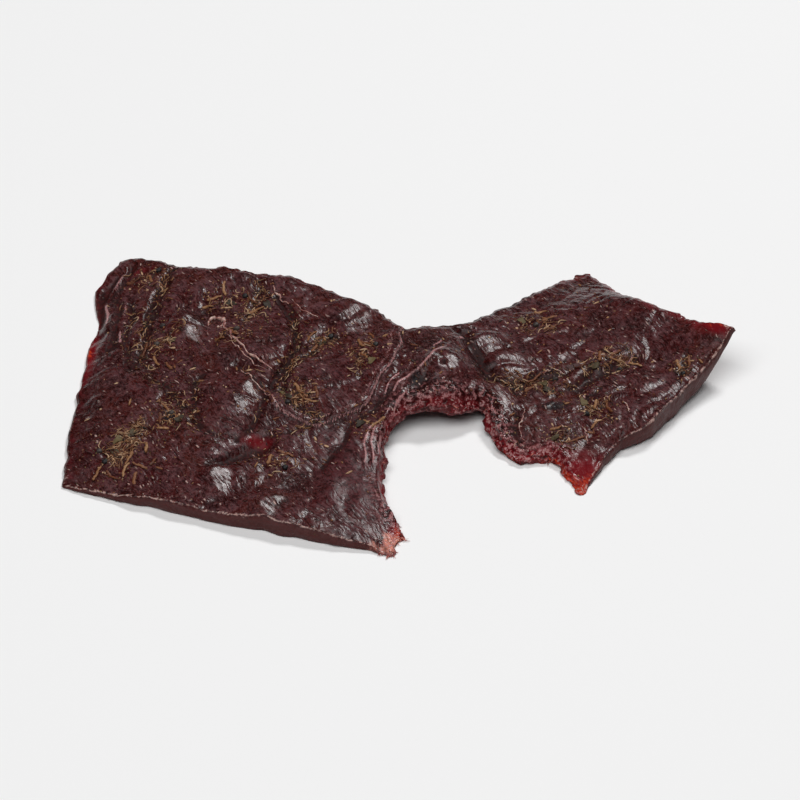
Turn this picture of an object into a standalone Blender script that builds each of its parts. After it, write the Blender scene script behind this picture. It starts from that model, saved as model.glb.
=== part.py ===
"""One slice of dry-cured elk meat, lying as it dried.

It is a thin butterfly cut: a wide left wing and a smaller right wing, joined by a
narrow neck behind an open notch. Each wing bows up in its middle and comes down to
the table along its edges. Dried herbs and cracked pepper are stuck to the top side.

Sizes are in millimetres, in a plan with +X to the right and +Y away from the front
edge. The finished mesh is moved over the middle of its box and scaled to metres.
"""

import math

import bmesh
import bpy
import numpy as np
from mathutils import Matrix, Vector

MM = 0.001
NAME = "elk_meat_slice"

# Outline: each station is a point of the front edge and the back edge point opposite it.
STATIONS = (
    (-60.0, 20.4, -54.6, 78.4),
    (-52.0, 17.4, -53.4, 80.4),
    (-43.0, 14.2, -52.0, 82.8),
    (-33.0, 10.6, -50.2, 84.2),
    (-22.0, 7.2, -48.0, 84.0),
    (-10.0, 3.6, -45.6, 82.6),
    (-4.0, 1.8, -44.4, 81.8),
    (-0.9, 0.8, -43.4, 81.2),
    (-0.9, 3.4, -42.4, 80.5),
    (0.9, 6.0, -40.8, 79.6),
    (-1.5, 10.6, -36.4, 77.4),
    (-3.2, 19.5, -27.6, 75.2),
    (-2.6, 28.5, -17.2, 72.4),
    (0.6, 37.2, -5.6, 65.6),
    (6.3, 37.6, 1.2, 57.8),
    (11.8, 38.0, 7.0, 59.0),
    (15.2, 39.8, 12.0, 61.8),
    (17.0, 34.6, 16.0, 66.6),
    (18.6, 30.0, 19.0, 70.2),
    (21.6, 27.2, 21.8, 72.8),
    (26.6, 27.8, 24.6, 75.6),
    (31.0, 20.4, 26.6, 77.8),
    (32.0, 18.6, 27.1, 78.3),
    (33.0, 20.8, 27.6, 78.8),
    (36.2, 26.6, 28.8, 80.0),
    (39.4, 31.0, 30.2, 81.2),
    (44.4, 34.0, 31.4, 82.2),
    (52.0, 45.0, 33.0, 83.4),
    (60.2, 54.8, 34.6, 84.0),
)
LEFT_SIDE = ((-60.0, 20.4), (-58.8, 34.0), (-57.4, 46.0), (-56.2, 58.0), (-54.8, 66.0), (-54.6, 78.4))
RIGHT_SIDE = ((60.2, 54.8), (55.0, 57.8), (51.0, 61.4), (45.4, 65.4), (41.4, 70.0), (38.2, 76.6), (34.6, 84.0))
CURVE_TENSION = 0.75
SIDE_HOLD = 4

# The plan's lines bow to the left behind the horn, so that they leave its edge at a good angle.
HORN_STATION = 9
HORN_BOW = -5.0
HORN_SPAN = 0.1

# Raggedness of the torn outline: noise size and the most that it moves a point.
TEARS = ((6.0, 0.45, 11), (2.6, 0.28, 12))

# How high the underside bows: centre, reach, turn in degrees, height.
BOWS = (
    (-27.0, 48.0, 24.0, 22.0, -18.0, 4.7),
    (-26.0, 78.0, 24.0, 11.0, -18.0, 4.6),
    (5.0, 50.0, 13.0, 19.0, 0.0, 5.0),
    (34.0, 52.0, 14.0, 15.0, 20.0, 2.4),
    (61.5, 57.5, 11.0, 11.0, 0.0, 9.4),
    (44.0, 67.0, 13.0, 9.0, 0.0, 3.4),
)
SETTLE = 0.35
ROLL_REACH = 3.4
ROLL_SHARE = 0.95

# Thickness, and where it differs: centre, reach, thickness there.
THICKNESS = 3.1
THICKEST = 5.0
THIN_AND_THICK = (
    (-53.0, 17.5, 7.0, 1.7),
    (-61.0, 19.5, 5.0, 0.6),
    (-33.0, 11.0, 8.0, 2.7),
    (-1.0, 1.0, 7.0, 1.1),
    (1.0, 6.0, 4.0, 1.6),
    (60.5, 55.0, 10.0, 1.4),
    (32.0, 19.0, 6.5, 1.0),
    (21.0, 28.0, 5.0, 2.3),
    (-54.6, 78.0, 7.0, 1.5),
    (34.6, 84.0, 9.0, 1.2),
    (47.0, 38.0, 8.0, 5.0),
    (8.0, 38.0, 6.5, 4.0),
)
LEFT_MARGIN = 1.9

# Domes and hollows of the top side: centre, reach, height.
DOMES = (
    (-31.0, 35.0, 5.5, 8.0, 1.2),
    (-32.6, 18.6, 3.5, 3.5, 0.9),
    (-21.4, 11.0, 4.0, 4.0, 0.8),
    (-10.0, 14.0, 6.0, 6.0, 0.7),
    (-36.0, 56.0, 6.0, 6.0, 0.7),
    (-23.0, 54.0, 5.0, 7.0, 0.8),
    (-12.4, 42.0, 6.5, 7.0, 0.9),
    (-10.7, 62.3, 6.0, 6.0, 0.5),
    (-48.6, 37.0, 5.0, 6.0, 0.6),
    (-38.0, 70.0, 7.0, 4.0, 0.5),
    (8.8, 46.8, 3.4, 3.4, 1.2),
    (3.5, 41.8, 2.8, 2.8, -1.3),
    (16.6, 54.0, 5.0, 5.0, 1.0),
    (35.2, 51.5, 3.0, 2.4, 0.7),
    (51.0, 47.5, 3.0, 4.0, 0.6),
)

# Creases and raised sinews of the top side: width, height, route.
FOLDS = (
    (1.3, -1.1, ((-33.0, 21.5), (-28.0, 25.4), (-24.0, 27.5))),
    (1.1, -0.6, ((-41.7, 75.7), (-45.2, 62.6), (-48.0, 50.6))),
    (1.2, 0.6, ((-51.0, 79.0), (-51.6, 68.0), (-53.0, 58.0))),
    (0.8, 0.6, ((-33.4, 59.0), (-30.0, 55.6), (-22.4, 44.0))),
    (0.7, 0.5, ((-28.6, 46.0), (-22.8, 37.5), (-21.4, 35.0))),
    (0.9, -0.6, ((-22.8, 68.0), (-20.3, 62.5), (-17.6, 56.5), (-22.4, 41.0))),
    (1.3, 1.3, ((0.7, 39.9), (4.5, 46.2), (9.3, 50.7), (11.4, 57.0))),
    (1.6, -1.3, ((11.7, 58.6), (14.1, 51.8), (15.9, 46.2))),
    (1.0, -0.7, ((20.7, 43.7), (25.2, 47.1), (28.6, 48.9))),
    (1.2, -0.8, ((32.0, 44.0), (36.5, 50.0), (41.4, 52.6))),
)

# The torn edge of a surface skin: it stands proud on the far side of this route.
SKIN_EDGE = ((-21.0, 34.5), (-13.8, 31.0), (-6.6, 36.5), (-1.7, 48.0), (1.0, 59.0))
SKIN_HEIGHT = 0.6
SKIN_REACH = 7.0
SKIN_SHARPNESS = 0.5

# Creases wander off their routes by this much: noise size and shift.
WANDER = ((8.0, 1.0, 41), (3.5, 0.5, 42))

# Uneven surface: noise size and height, top and underside.
TOP_LUMPS = ((9.0, 0.45, 21), (4.0, 0.12, 22))
UNDER_LUMPS = ((11.0, 0.5, 31), (5.0, 0.25, 32))

# Herbs and pepper: patch centre, reach, number of pieces.
HERB_PATCHES = (
    (-49.0, 25.5, 5.6, 6.6, 14),
    (-41.0, 35.0, 3.0, 3.4, 5),
    (-43.0, 54.0, 3.6, 8.0, 6),
    (-31.9, 68.4, 4.4, 3.2, 5),
    (-25.2, 65.5, 2.0, 3.6, 3),
    (-30.0, 56.4, 2.6, 2.2, 3),
    (-14.8, 55.0, 3.4, 3.0, 4),
    (-18.0, 38.4, 3.8, 3.0, 7),
    (-5.6, 51.5, 2.2, 5.0, 6),
    (-21.4, 23.0, 4.4, 2.2, 3),
    (-6.0, 33.0, 2.4, 2.4, 2),
    (-45.0, 77.0, 3.2, 2.0, 3),
    (24.6, 46.0, 4.6, 2.6, 6),
    (38.0, 51.2, 4.4, 2.6, 6),
    (34.8, 38.4, 3.4, 3.6, 5),
    (50.6, 48.6, 2.4, 2.2, 3),
    (29.0, 31.5, 3.4, 2.6, 3),
    (25.0, 63.6, 4.4, 4.0, 5),
)
GOLDEN_ANGLE = math.radians(137.508)
# Each kind: half length, half width, half height, sides of a stalk or 0 for a lump.
HERB_KINDS = (
    (1.60, 0.32, 0.30, 5),
    (0.90, 0.56, 0.30, 0),
    (1.90, 0.26, 0.26, 5),
    (1.20, 0.34, 0.30, 5),
    (0.58, 0.52, 0.42, 0),
)
# How deep a piece sits, as a share of its half height, and how far round it the slope is read.
HERB_BEDDED = 0.3
SEAT_STEP = 0.4

# Fineness of the grid that the form is worked out on, and of the finished body.
COLUMNS = 300
ROWS = 84
BODY_TRIANGLES = 8200


def clear_scene():
    for item in list(bpy.data.objects):
        bpy.data.objects.remove(item, do_unlink=True)


def value_noise(x, y, size, salt):
    """Smooth noise from -1 to 1: random values on a square lattice, eased between."""
    u, v = x / size, y / size
    i, j = np.floor(u), np.floor(v)
    fu, fv = u - i, v - j
    fu, fv = fu * fu * (3 - 2 * fu), fv * fv * (3 - 2 * fv)

    def corner(a, b):
        wave = np.sin(a * 127.1 + b * 311.7 + salt * 74.7) * 43758.5453
        return 2 * (wave - np.floor(wave)) - 1

    near = corner(i, j) * (1 - fu) + corner(i + 1, j) * fu
    far = corner(i, j + 1) * (1 - fu) + corner(i + 1, j + 1) * fu
    return near * (1 - fv) + far * fv


def layered_noise(x, y, layers):
    return sum(height * value_noise(x, y, size, salt) for size, height, salt in layers)


def smooth_curve(points, knots, at):
    """Cubic through the points, with slopes taken from each point's neighbours."""
    slope = CURVE_TENSION * np.gradient(points, knots, axis=0)
    i = np.clip(np.searchsorted(knots, at, side="right") - 1, 0, len(knots) - 2)
    step = (knots[i + 1] - knots[i])[:, None]
    u = (at - knots[i])[:, None] / step
    ends = points[i] * (2 * u**3 - 3 * u**2 + 1) + points[i + 1] * (3 * u**2 - 2 * u**3)
    bends = slope[i] * (u**3 - 2 * u**2 + u) + slope[i + 1] * (u**3 - u**2)
    return ends + bends * step


def knots_by_length(*curves):
    step = sum(np.linalg.norm(np.diff(curve, axis=0), axis=1) for curve in curves)
    knots = np.concatenate([[0.0], np.cumsum(step)])
    return knots / knots[-1]


def plan(s, t):
    """Plan of the slice: straight lines from front to back edge, whose ends are pulled onto the sides.

    s runs from the left side to the right one, and t from the front edge to the back one.
    """
    stations = np.array(STATIONS)
    front, back = stations[:, :2], stations[:, 2:]
    left, right = np.array(LEFT_SIDE), np.array(RIGHT_SIDE)
    knots = knots_by_length(front, back)
    s_, t_ = s[:, None], t[:, None]
    ruled = (1 - t_) * smooth_curve(front, knots, s) + t_ * smooth_curve(back, knots, s)
    left_gap = smooth_curve(left, knots_by_length(left), t) - ((1 - t_) * front[0] + t_ * back[0])
    right_gap = smooth_curve(right, knots_by_length(right), t) - ((1 - t_) * front[-1] + t_ * back[-1])
    xy = ruled + (1 - s_) ** SIDE_HOLD * left_gap + s_**SIDE_HOLD * right_gap
    past_horn = (s - knots[HORN_STATION]) / HORN_SPAN
    xy[:, 0] += HORN_BOW * 4 * t * (1 - t) * np.exp(-(past_horn**2))
    x, y = xy[:, 0], xy[:, 1]
    tear = np.stack([layered_noise(x, y, TEARS), layered_noise(y + 50.0, x, TEARS)], axis=1)
    return (xy + tear).T


def swell(x, y, centre_x, centre_y, reach_x, reach_y, turn=0.0):
    """A smooth hill, 1 at its centre, that fades over its reach."""
    a = math.radians(turn)
    dx, dy = x - centre_x, y - centre_y
    u = (dx * math.cos(a) + dy * math.sin(a)) / reach_x
    v = (dy * math.cos(a) - dx * math.sin(a)) / reach_y
    return np.exp(-(u * u + v * v))


def from_left_side(x, y):
    side = np.array(LEFT_SIDE)
    return np.maximum(x - np.interp(y, side[:, 1], side[:, 0]), 0.0)


def left_margin(x, y):
    """1 on the left side, where the slice curls down to the table, and 0 a little way in."""
    return np.exp(-((from_left_side(x, y) / ROLL_REACH) ** 2))


def bow(x, y):
    """Height of the smooth underside over the table, before it settles onto it."""
    z = sum(height * swell(x, y, *place) for *place, height in BOWS)
    return z * (1 - ROLL_SHARE * left_margin(x, y))


def thickness(x, y):
    thick = np.full_like(x, THICKNESS)
    for centre_x, centre_y, reach, there in THIN_AND_THICK:
        thick += (there - thick) * swell(x, y, centre_x, centre_y, reach, reach)
    return thick + (LEFT_MARGIN - thick) * left_margin(x, y) * (thick > LEFT_MARGIN)


def off_route(x, y, route):
    """Distance to a route of straight legs, and on which side: above 0 to its left."""
    nearest = np.full_like(x, np.inf)
    side = np.zeros_like(x)
    for (ax, ay), (bx, by) in zip(route[:-1], route[1:]):
        leg_x, leg_y = bx - ax, by - ay
        along = ((x - ax) * leg_x + (y - ay) * leg_y) / (leg_x**2 + leg_y**2)
        along = np.clip(along, 0.0, 1.0)
        distance = np.hypot(x - ax - along * leg_x, y - ay - along * leg_y)
        closer = distance < nearest
        across = leg_x * (y - ay) - leg_y * (x - ax)
        side = np.where(closer, np.sign(across), side)
        nearest = np.minimum(nearest, distance)
    return nearest, side


def relief(x, y):
    """What stands on the smooth top side: domes, creases, sinews and the skin's torn edge."""
    z = sum(height * swell(x, y, *place) for *place, height in DOMES)
    wander_x, wander_y = x + layered_noise(x, y, WANDER), y + layered_noise(y, x, WANDER)
    for width, height, route in FOLDS:
        z += height * np.exp(-((off_route(wander_x, wander_y, route)[0] / width) ** 2))
    away, side = off_route(wander_x, wander_y, SKIN_EDGE)
    proud = 0.5 + 0.5 * np.tanh(side * away / SKIN_SHARPNESS)
    z += SKIN_HEIGHT * proud * np.exp(-((away / SKIN_REACH) ** 2))
    return z + layered_noise(x, y, TOP_LUMPS)


def top(x, y):
    return bow(x, y) + thickness(x, y) + relief(x, y) - SETTLE


def coordinates(mesh):
    flat = np.empty(len(mesh.vertices) * 3)
    mesh.vertices.foreach_get("co", flat)
    return flat.reshape(-1, 3)


def set_coordinates(mesh, points):
    mesh.vertices.foreach_set("co", np.ascontiguousarray(points).ravel())
    mesh.update()


def apply_modifier(body, modifier):
    bpy.context.view_layer.objects.active = body
    bpy.ops.object.modifier_apply(modifier=modifier.name)


def smooth_sheet():
    """The smooth top side as a grid laid over the plan, with its thickness as weights."""
    bpy.ops.mesh.primitive_grid_add(x_subdivisions=COLUMNS, y_subdivisions=ROWS, size=1.0)
    body = bpy.context.active_object
    body.name = NAME
    body.data.name = NAME
    s, t = (coordinates(body.data)[:, :2] + 0.5).T
    x, y = plan(np.clip(s, 0, 1), np.clip(t, 0, 1))
    thick = thickness(x, y)
    set_coordinates(body.data, np.stack([x, y, bow(x, y) + thick], axis=1) * MM)
    weights = body.vertex_groups.new(name="thickness")
    for index, weight in enumerate(thick / THICKEST):
        weights.add([index], float(weight), "REPLACE")
    return body, x, y


def thicken(body):
    wall = body.modifiers.new("Thickness", "SOLIDIFY")
    wall.thickness = THICKEST * MM
    wall.offset = -1.0
    wall.vertex_group = "thickness"
    apply_modifier(body, wall)
    body.vertex_groups.clear()


def shape_sides(body, x, y):
    """Adds the relief to the top side, and settles the underside onto the table."""
    points = coordinates(body.data) / MM
    upper, lower = points[: len(x)], points[len(x) :]
    upper[:, 2] += relief(x, y) - SETTLE
    lower[:, 2] += layered_noise(x, y, UNDER_LUMPS) * np.clip(lower[:, 2], 0, 1) - SETTLE
    lower[:, 2] = np.maximum(lower[:, 2], 0.0)
    set_coordinates(body.data, points * MM)


def thin_out(body):
    """Fewer, larger faces where the form is plain, and small ones where it bends."""
    body.data.calc_loop_triangles()
    fewer = body.modifiers.new("Thin out", "DECIMATE")
    fewer.ratio = BODY_TRIANGLES / len(body.data.loop_triangles)
    fewer.use_collapse_triangulate = True
    apply_modifier(body, fewer)


def herb_places():
    """Places in each patch along a sunflower spiral, which spreads them evenly."""
    for patch, (centre_x, centre_y, reach_x, reach_y, count) in enumerate(HERB_PATCHES):
        for k in range(count):
            out = math.sqrt((k + 0.5) / count)
            angle = k * GOLDEN_ANGLE + patch
            yield centre_x + reach_x * out * math.cos(angle), centre_y + reach_y * out * math.sin(angle)


def seat(x, y, turn):
    """Turns and moves a piece so that it lies on the top side at x, y."""
    at_x = np.array([x, x - SEAT_STEP, x + SEAT_STEP, x, x])
    at_y = np.array([y, y, y, y - SEAT_STEP, y + SEAT_STEP])
    at = top(at_x, at_y)
    normal = Vector((at[1] - at[2], at[3] - at[4], 2 * SEAT_STEP)).normalized()
    lean = Vector((0, 0, 1)).rotation_difference(normal).to_matrix().to_4x4()
    place = Vector((x, y, at[0])) * MM
    return Matrix.Translation(place) @ lean @ Matrix.Rotation(turn, 4, "Z")


def herb(index, x, y, collection, material):
    half_length, half_width, half_height, sides = HERB_KINDS[index % len(HERB_KINDS)]
    form = bmesh.new()
    if sides:
        bmesh.ops.create_cone(
            form, cap_ends=True, segments=sides, radius1=1.0, radius2=0.8, depth=2.0,
            matrix=Matrix.Rotation(math.pi / 2, 4, "Y"),
        )
    else:
        bmesh.ops.create_icosphere(form, subdivisions=1, radius=1.0)
    size = Matrix.Diagonal((half_length * MM, half_width * MM, half_height * MM, 1.0))
    bedded = Matrix.Translation((0, 0, HERB_BEDDED * half_height * MM))
    turn = math.pi * float(value_noise(index * 1.7, 0.5, 1.0, 51))
    form.transform(seat(x, y, turn) @ bedded @ size)
    mesh = bpy.data.meshes.new(f"herb_{index:02d}")
    form.to_mesh(mesh)
    form.free()
    mesh.materials.append(material)
    collection.objects.link(bpy.data.objects.new(mesh.name, mesh))


def fuse_herbs(body, material):
    """One union joins every herb and pepper piece to the slice."""
    pieces = bpy.data.collections.new("herbs_to_fuse")
    pieces.hide_render = True
    bpy.context.scene.collection.children.link(pieces)
    for index, (x, y) in enumerate(herb_places()):
        herb(index, x, y, pieces, material)
    join = body.modifiers.new("Fuse herbs", "BOOLEAN")
    join.operation = "UNION"
    join.operand_type = "COLLECTION"
    join.collection = pieces
    join.solver = "MANIFOLD"
    bpy.context.view_layer.update()
    apply_modifier(body, join)
    for item in list(pieces.objects):
        bpy.data.objects.remove(item, do_unlink=True)
    bpy.data.collections.remove(pieces)


def centre_over_table(body):
    """Moves the mesh so that the origin is under the middle of its box, on the table."""
    points = coordinates(body.data)
    low, high = points.min(axis=0), points.max(axis=0)
    middle = (low + high) / 2
    middle[2] = low[2]
    set_coordinates(body.data, points - middle)


def plain_material(name, colour, roughness):
    material = bpy.data.materials.new(name)
    material.use_nodes = True
    shader = material.node_tree.nodes["Principled BSDF"]
    shader.inputs["Base Color"].default_value = (*colour, 1.0)
    shader.inputs["Roughness"].default_value = roughness
    shader.inputs["Metallic"].default_value = 0.0
    return material


def build():
    clear_scene()
    collection = bpy.data.collections.new("dry_cured_elk_meat")
    bpy.context.scene.collection.children.link(collection)
    meat = plain_material("dried_meat", (0.062, 0.018, 0.020), 0.42)
    herbs = plain_material("dried_herbs", (0.26, 0.15, 0.07), 0.8)
    body, x, y = smooth_sheet()
    for owner in list(body.users_collection):
        owner.objects.unlink(body)
    collection.objects.link(body)
    body.data.materials.append(meat)
    thicken(body)
    shape_sides(body, x, y)
    thin_out(body)
    fuse_herbs(body, herbs)
    centre_over_table(body)
    body.data.shade_smooth()
    body.data.set_sharp_from_angle(angle=math.radians(40))


build()
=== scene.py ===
"""Dresses one slice of dry-cured elk meat in its final looks, laid out as an add-on.

The slice is a thin butterfly cut that bowed as it dried: a wide left wing and a smaller
right wing, joined by a narrow neck behind an open notch. Herbs and pepper stick to it.

The form is worked out in millimetres on a plan, +X right and +Y away from the front
edge, then moved over the middle of its outline and scaled to metres.
"""

import math
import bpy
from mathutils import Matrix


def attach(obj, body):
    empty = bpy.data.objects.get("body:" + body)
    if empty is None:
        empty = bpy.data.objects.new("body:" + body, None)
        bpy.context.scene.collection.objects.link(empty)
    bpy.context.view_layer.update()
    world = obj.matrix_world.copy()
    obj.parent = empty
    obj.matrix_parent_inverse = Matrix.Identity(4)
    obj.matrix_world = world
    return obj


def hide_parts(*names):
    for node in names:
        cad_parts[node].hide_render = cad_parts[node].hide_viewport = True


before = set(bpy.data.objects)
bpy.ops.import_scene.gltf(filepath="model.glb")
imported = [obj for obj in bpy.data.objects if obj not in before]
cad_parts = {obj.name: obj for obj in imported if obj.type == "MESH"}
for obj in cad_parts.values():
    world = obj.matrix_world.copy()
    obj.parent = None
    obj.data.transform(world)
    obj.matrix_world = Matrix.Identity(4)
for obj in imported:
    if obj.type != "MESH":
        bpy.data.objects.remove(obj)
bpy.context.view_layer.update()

from types import SimpleNamespace

import bpy
import numpy as np
from bpy.props import FloatProperty, FloatVectorProperty, IntProperty, PointerProperty
from mathutils import Vector

bl_info = {
    "name": "Dry-cured meat slice",
    "version": (1, 0, 0),
    "blender": (4, 5, 0),
    "location": "3D View > Sidebar > Meat slice",
    "description": "Builds a dried slice of cured meat with its herbs, pepper and sinews",
    "category": "Add Mesh",
}

MM = 0.001
SLICE_NODE = "elk_meat_slice"

# Outline: each station is a point of the front edge and the back edge point opposite it.
STATIONS = (
    (-60.0, 20.4, -54.6, 78.4),
    (-52.0, 17.4, -53.4, 80.4),
    (-43.0, 14.2, -52.0, 82.8),
    (-33.0, 10.6, -50.2, 84.2),
    (-22.0, 7.2, -48.0, 84.0),
    (-10.0, 3.6, -45.6, 82.6),
    (-4.0, 1.8, -44.4, 81.8),
    (-0.9, 0.8, -43.4, 81.2),
    (-0.9, 3.4, -42.4, 80.5),
    (0.9, 6.0, -40.8, 79.6),
    (-1.5, 10.6, -36.4, 77.4),
    (-3.2, 19.5, -27.6, 75.2),
    (-2.6, 28.5, -17.2, 72.4),
    (0.6, 37.2, -5.6, 65.6),
    (6.3, 37.6, 1.2, 57.8),
    (11.8, 38.0, 7.0, 59.0),
    (15.2, 39.8, 12.0, 61.8),
    (17.0, 34.6, 16.0, 66.6),
    (18.6, 30.0, 19.0, 70.2),
    (21.6, 27.2, 21.8, 72.8),
    (26.6, 27.8, 24.6, 75.6),
    (31.0, 20.4, 26.6, 77.8),
    (32.0, 18.6, 27.1, 78.3),
    (33.0, 20.8, 27.6, 78.8),
    (36.2, 26.6, 28.8, 80.0),
    (39.4, 31.0, 30.2, 81.2),
    (44.4, 34.0, 31.4, 82.2),
    (52.0, 45.0, 33.0, 83.4),
    (60.2, 54.8, 34.6, 84.0),
)
FRONT_EDGE, BACK_EDGE = np.array(STATIONS)[:, :2], np.array(STATIONS)[:, 2:]
LEFT_SIDE = np.array((
    (-60.0, 20.4), (-58.8, 34.0), (-57.4, 46.0), (-56.2, 58.0), (-54.8, 66.0), (-54.6, 78.4),
))
RIGHT_SIDE = np.array((
    (60.2, 54.8), (55.0, 57.8), (51.0, 61.4), (45.4, 65.4), (41.4, 70.0), (38.2, 76.6), (34.6, 84.0),
))
CURVE_TENSION = 0.75

# How fast the sides let go of the lines between front and back, and how those behind the horn bow.
SIDE_HOLD = 4
HORN_STATION = 9
HORN_BOW = -5.0
HORN_SPAN = 0.1

# Stations between which the front edge is torn: the horn to the right wing's tip. Beside them it is cut.
TORN_FROM, TORN_TO = 7, 22
CUT_EDGES = (
    ((-60.0, 20.4), (-33.0, 10.6), (-4.0, 1.8)),
    ((34.0, 22.0), (44.4, 34.0), (60.2, 54.8)),
)
CUT_REACH = 2.5

# Noise: the waves whose fractions are the draws on the lattice.
LATTICE_WAVES = ((127.1, 311.7), (269.5, 183.3))
SALT_STEP = 74.7
LATTICE_SPREAD = 43758.5453

# Raggedness of the outline: noise size, the most that it moves a point, and a salt.
TEARS = ((6.0, 0.45, 11), (2.6, 0.28, 12))
FINE_TEARS = ((1.5, 0.24, 13), (0.8, 0.14, 14))
FINE_TEAR_REACH = 2.2
TEAR_SHIFT = 50.0

# How high the underside bows: centre, reach, turn in degrees, height.
BOWS = (
    (-27.0, 48.0, 24.0, 22.0, -18.0, 4.7),
    (-26.0, 78.0, 24.0, 11.0, -18.0, 4.6),
    (5.0, 50.0, 13.0, 19.0, 0.0, 5.0),
    (34.0, 52.0, 14.0, 15.0, 20.0, 2.4),
    (61.5, 57.5, 11.0, 11.0, 0.0, 9.4),
    (44.0, 67.0, 13.0, 9.0, 0.0, 3.4),
)

# How far the slice sinks as it settles, and how far in and how much its left side curls down.
SETTLE = 0.35
ROLL_REACH = 3.4
ROLL_SHARE = 0.95

# Thickness, and where it differs: centre, reach, thickness there. The left margin is the curled side.
THICKNESS = 3.1
THIN_AND_THICK = (
    (-53.0, 17.5, 7.0, 1.7),
    (-61.0, 19.5, 5.0, 0.6),
    (-33.0, 11.0, 8.0, 2.7),
    (-1.0, 1.0, 7.0, 1.1),
    (1.0, 6.0, 4.0, 1.6),
    (60.5, 55.0, 10.0, 1.4),
    (32.0, 19.0, 6.5, 1.0),
    (21.0, 28.0, 5.0, 2.3),
    (-54.6, 78.0, 7.0, 1.5),
    (34.6, 84.0, 9.0, 1.2),
    (47.0, 38.0, 8.0, 5.0),
    (8.0, 38.0, 6.5, 4.0),
)
LEFT_MARGIN = 1.9

# Domes and hollows of the top side: centre, reach, height.
DOMES = (
    (-31.0, 35.0, 5.5, 8.0, 1.2),
    (-32.6, 18.6, 3.5, 3.5, 0.9),
    (-21.4, 11.0, 4.0, 4.0, 0.8),
    (-10.0, 14.0, 6.0, 6.0, 0.7),
    (-36.0, 56.0, 6.0, 6.0, 0.7),
    (-23.0, 54.0, 5.0, 7.0, 0.8),
    (-12.4, 42.0, 6.5, 7.0, 0.9),
    (-10.7, 62.3, 6.0, 6.0, 0.5),
    (-48.6, 37.0, 5.0, 6.0, 0.6),
    (-38.0, 70.0, 7.0, 4.0, 0.5),
    (8.8, 46.8, 3.4, 3.4, 1.2),
    (3.5, 41.8, 2.8, 2.8, -1.3),
    (16.6, 54.0, 5.0, 5.0, 1.0),
    (35.2, 51.5, 3.0, 2.4, 0.7),
    (51.0, 47.5, 3.0, 4.0, 0.6),
)

# Creases and raised sinews of the top side: width, height, route. Then the edge of the torn skin.
FOLDS = (
    (1.3, -1.1, ((-33.0, 21.5), (-28.0, 25.4), (-24.0, 27.5))),
    (1.1, -0.6, ((-41.7, 75.7), (-45.2, 62.6), (-48.0, 50.6))),
    (1.2, 0.6, ((-51.0, 79.0), (-51.6, 68.0), (-53.0, 58.0))),
    (0.8, 0.6, ((-33.4, 59.0), (-30.0, 55.6), (-22.4, 44.0))),
    (0.7, 0.5, ((-28.6, 46.0), (-22.8, 37.5), (-21.4, 35.0))),
    (0.9, -0.6, ((-22.8, 68.0), (-20.3, 62.5), (-17.6, 56.5), (-22.4, 41.0))),
    (1.1, 0.6, ((0.7, 39.9), (4.5, 46.2), (9.3, 50.7), (11.4, 57.0))),
    (1.6, -1.3, ((11.7, 58.6), (14.1, 51.8), (15.9, 46.2))),
    (1.0, -0.7, ((20.7, 43.7), (25.2, 47.1), (28.6, 48.9))),
    (1.2, -0.8, ((32.0, 44.0), (36.5, 50.0), (41.4, 52.6))),
)
SKIN_EDGE = ((-21.0, 34.5), (-13.8, 31.0), (-6.6, 36.5), (-1.7, 48.0), (1.0, 59.0))
SKIN_HEIGHT = 0.6
SKIN_REACH = 7.0
SKIN_SHARPNESS = 0.35
WANDER = ((8.0, 1.0, 41), (3.5, 0.5, 42))

# Uneven surface: noise size, height and salt, on the top side and the underside.
TOP_LUMPS = ((9.0, 0.45, 21), (4.0, 0.12, 22))
FINE_LUMPS = ((2.1, 0.06, 23), (1.05, 0.05, 24))
UNDER_LUMPS = ((11.0, 0.5, 31), (5.0, 0.25, 32))
UNDER_FINE = ((2.0, 0.10, 33), (1.1, 0.05, 34))

# Muscle fibres: the way they run on the plan, how far they are drawn out, and their ridges.
FIBRE_TURN = math.radians(-58.0)
FIBRE_STRETCH = 5.0
FIBRE_RIDGES = ((1.5, 0.07, 61), (0.8, 0.06, 62))
FIBRE_BEND = ((9.0, 1.8, 73), (4.0, 0.6, 74))

# Side wall: how far down each loop of points runs, how round it is, and its torn noise and ledges.
RIM_STEPS = (0.04, 0.14, 0.30, 0.48, 0.66, 0.82, 0.94)
RIM_HEIGHT = 3.0
RIM_ROUND = 0.28
RIM_TEARS = ((1.5, 0.42, 81), (0.7, 0.26, 82))
RIM_LEDGES = ((1.0, 0.16, 83),)
RIM_LEDGE_SHAPE = (0.35, 2.2)

# How far to each side a slope is taken: for the underside, and where the herbs are seated.
NORMAL_STEP, SEAT_STEP = 0.5, 0.4

# Lobes between furrows, drawn by chance.
LOBE_SIZE = 8.5
LOBE_DEPTH = 0.20
LOBE_CREASE = 1.1
LOBE_BEND_X, LOBE_BEND_Y = ((5.0, 1.6, 71),), ((5.0, 1.6, 72),)

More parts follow.
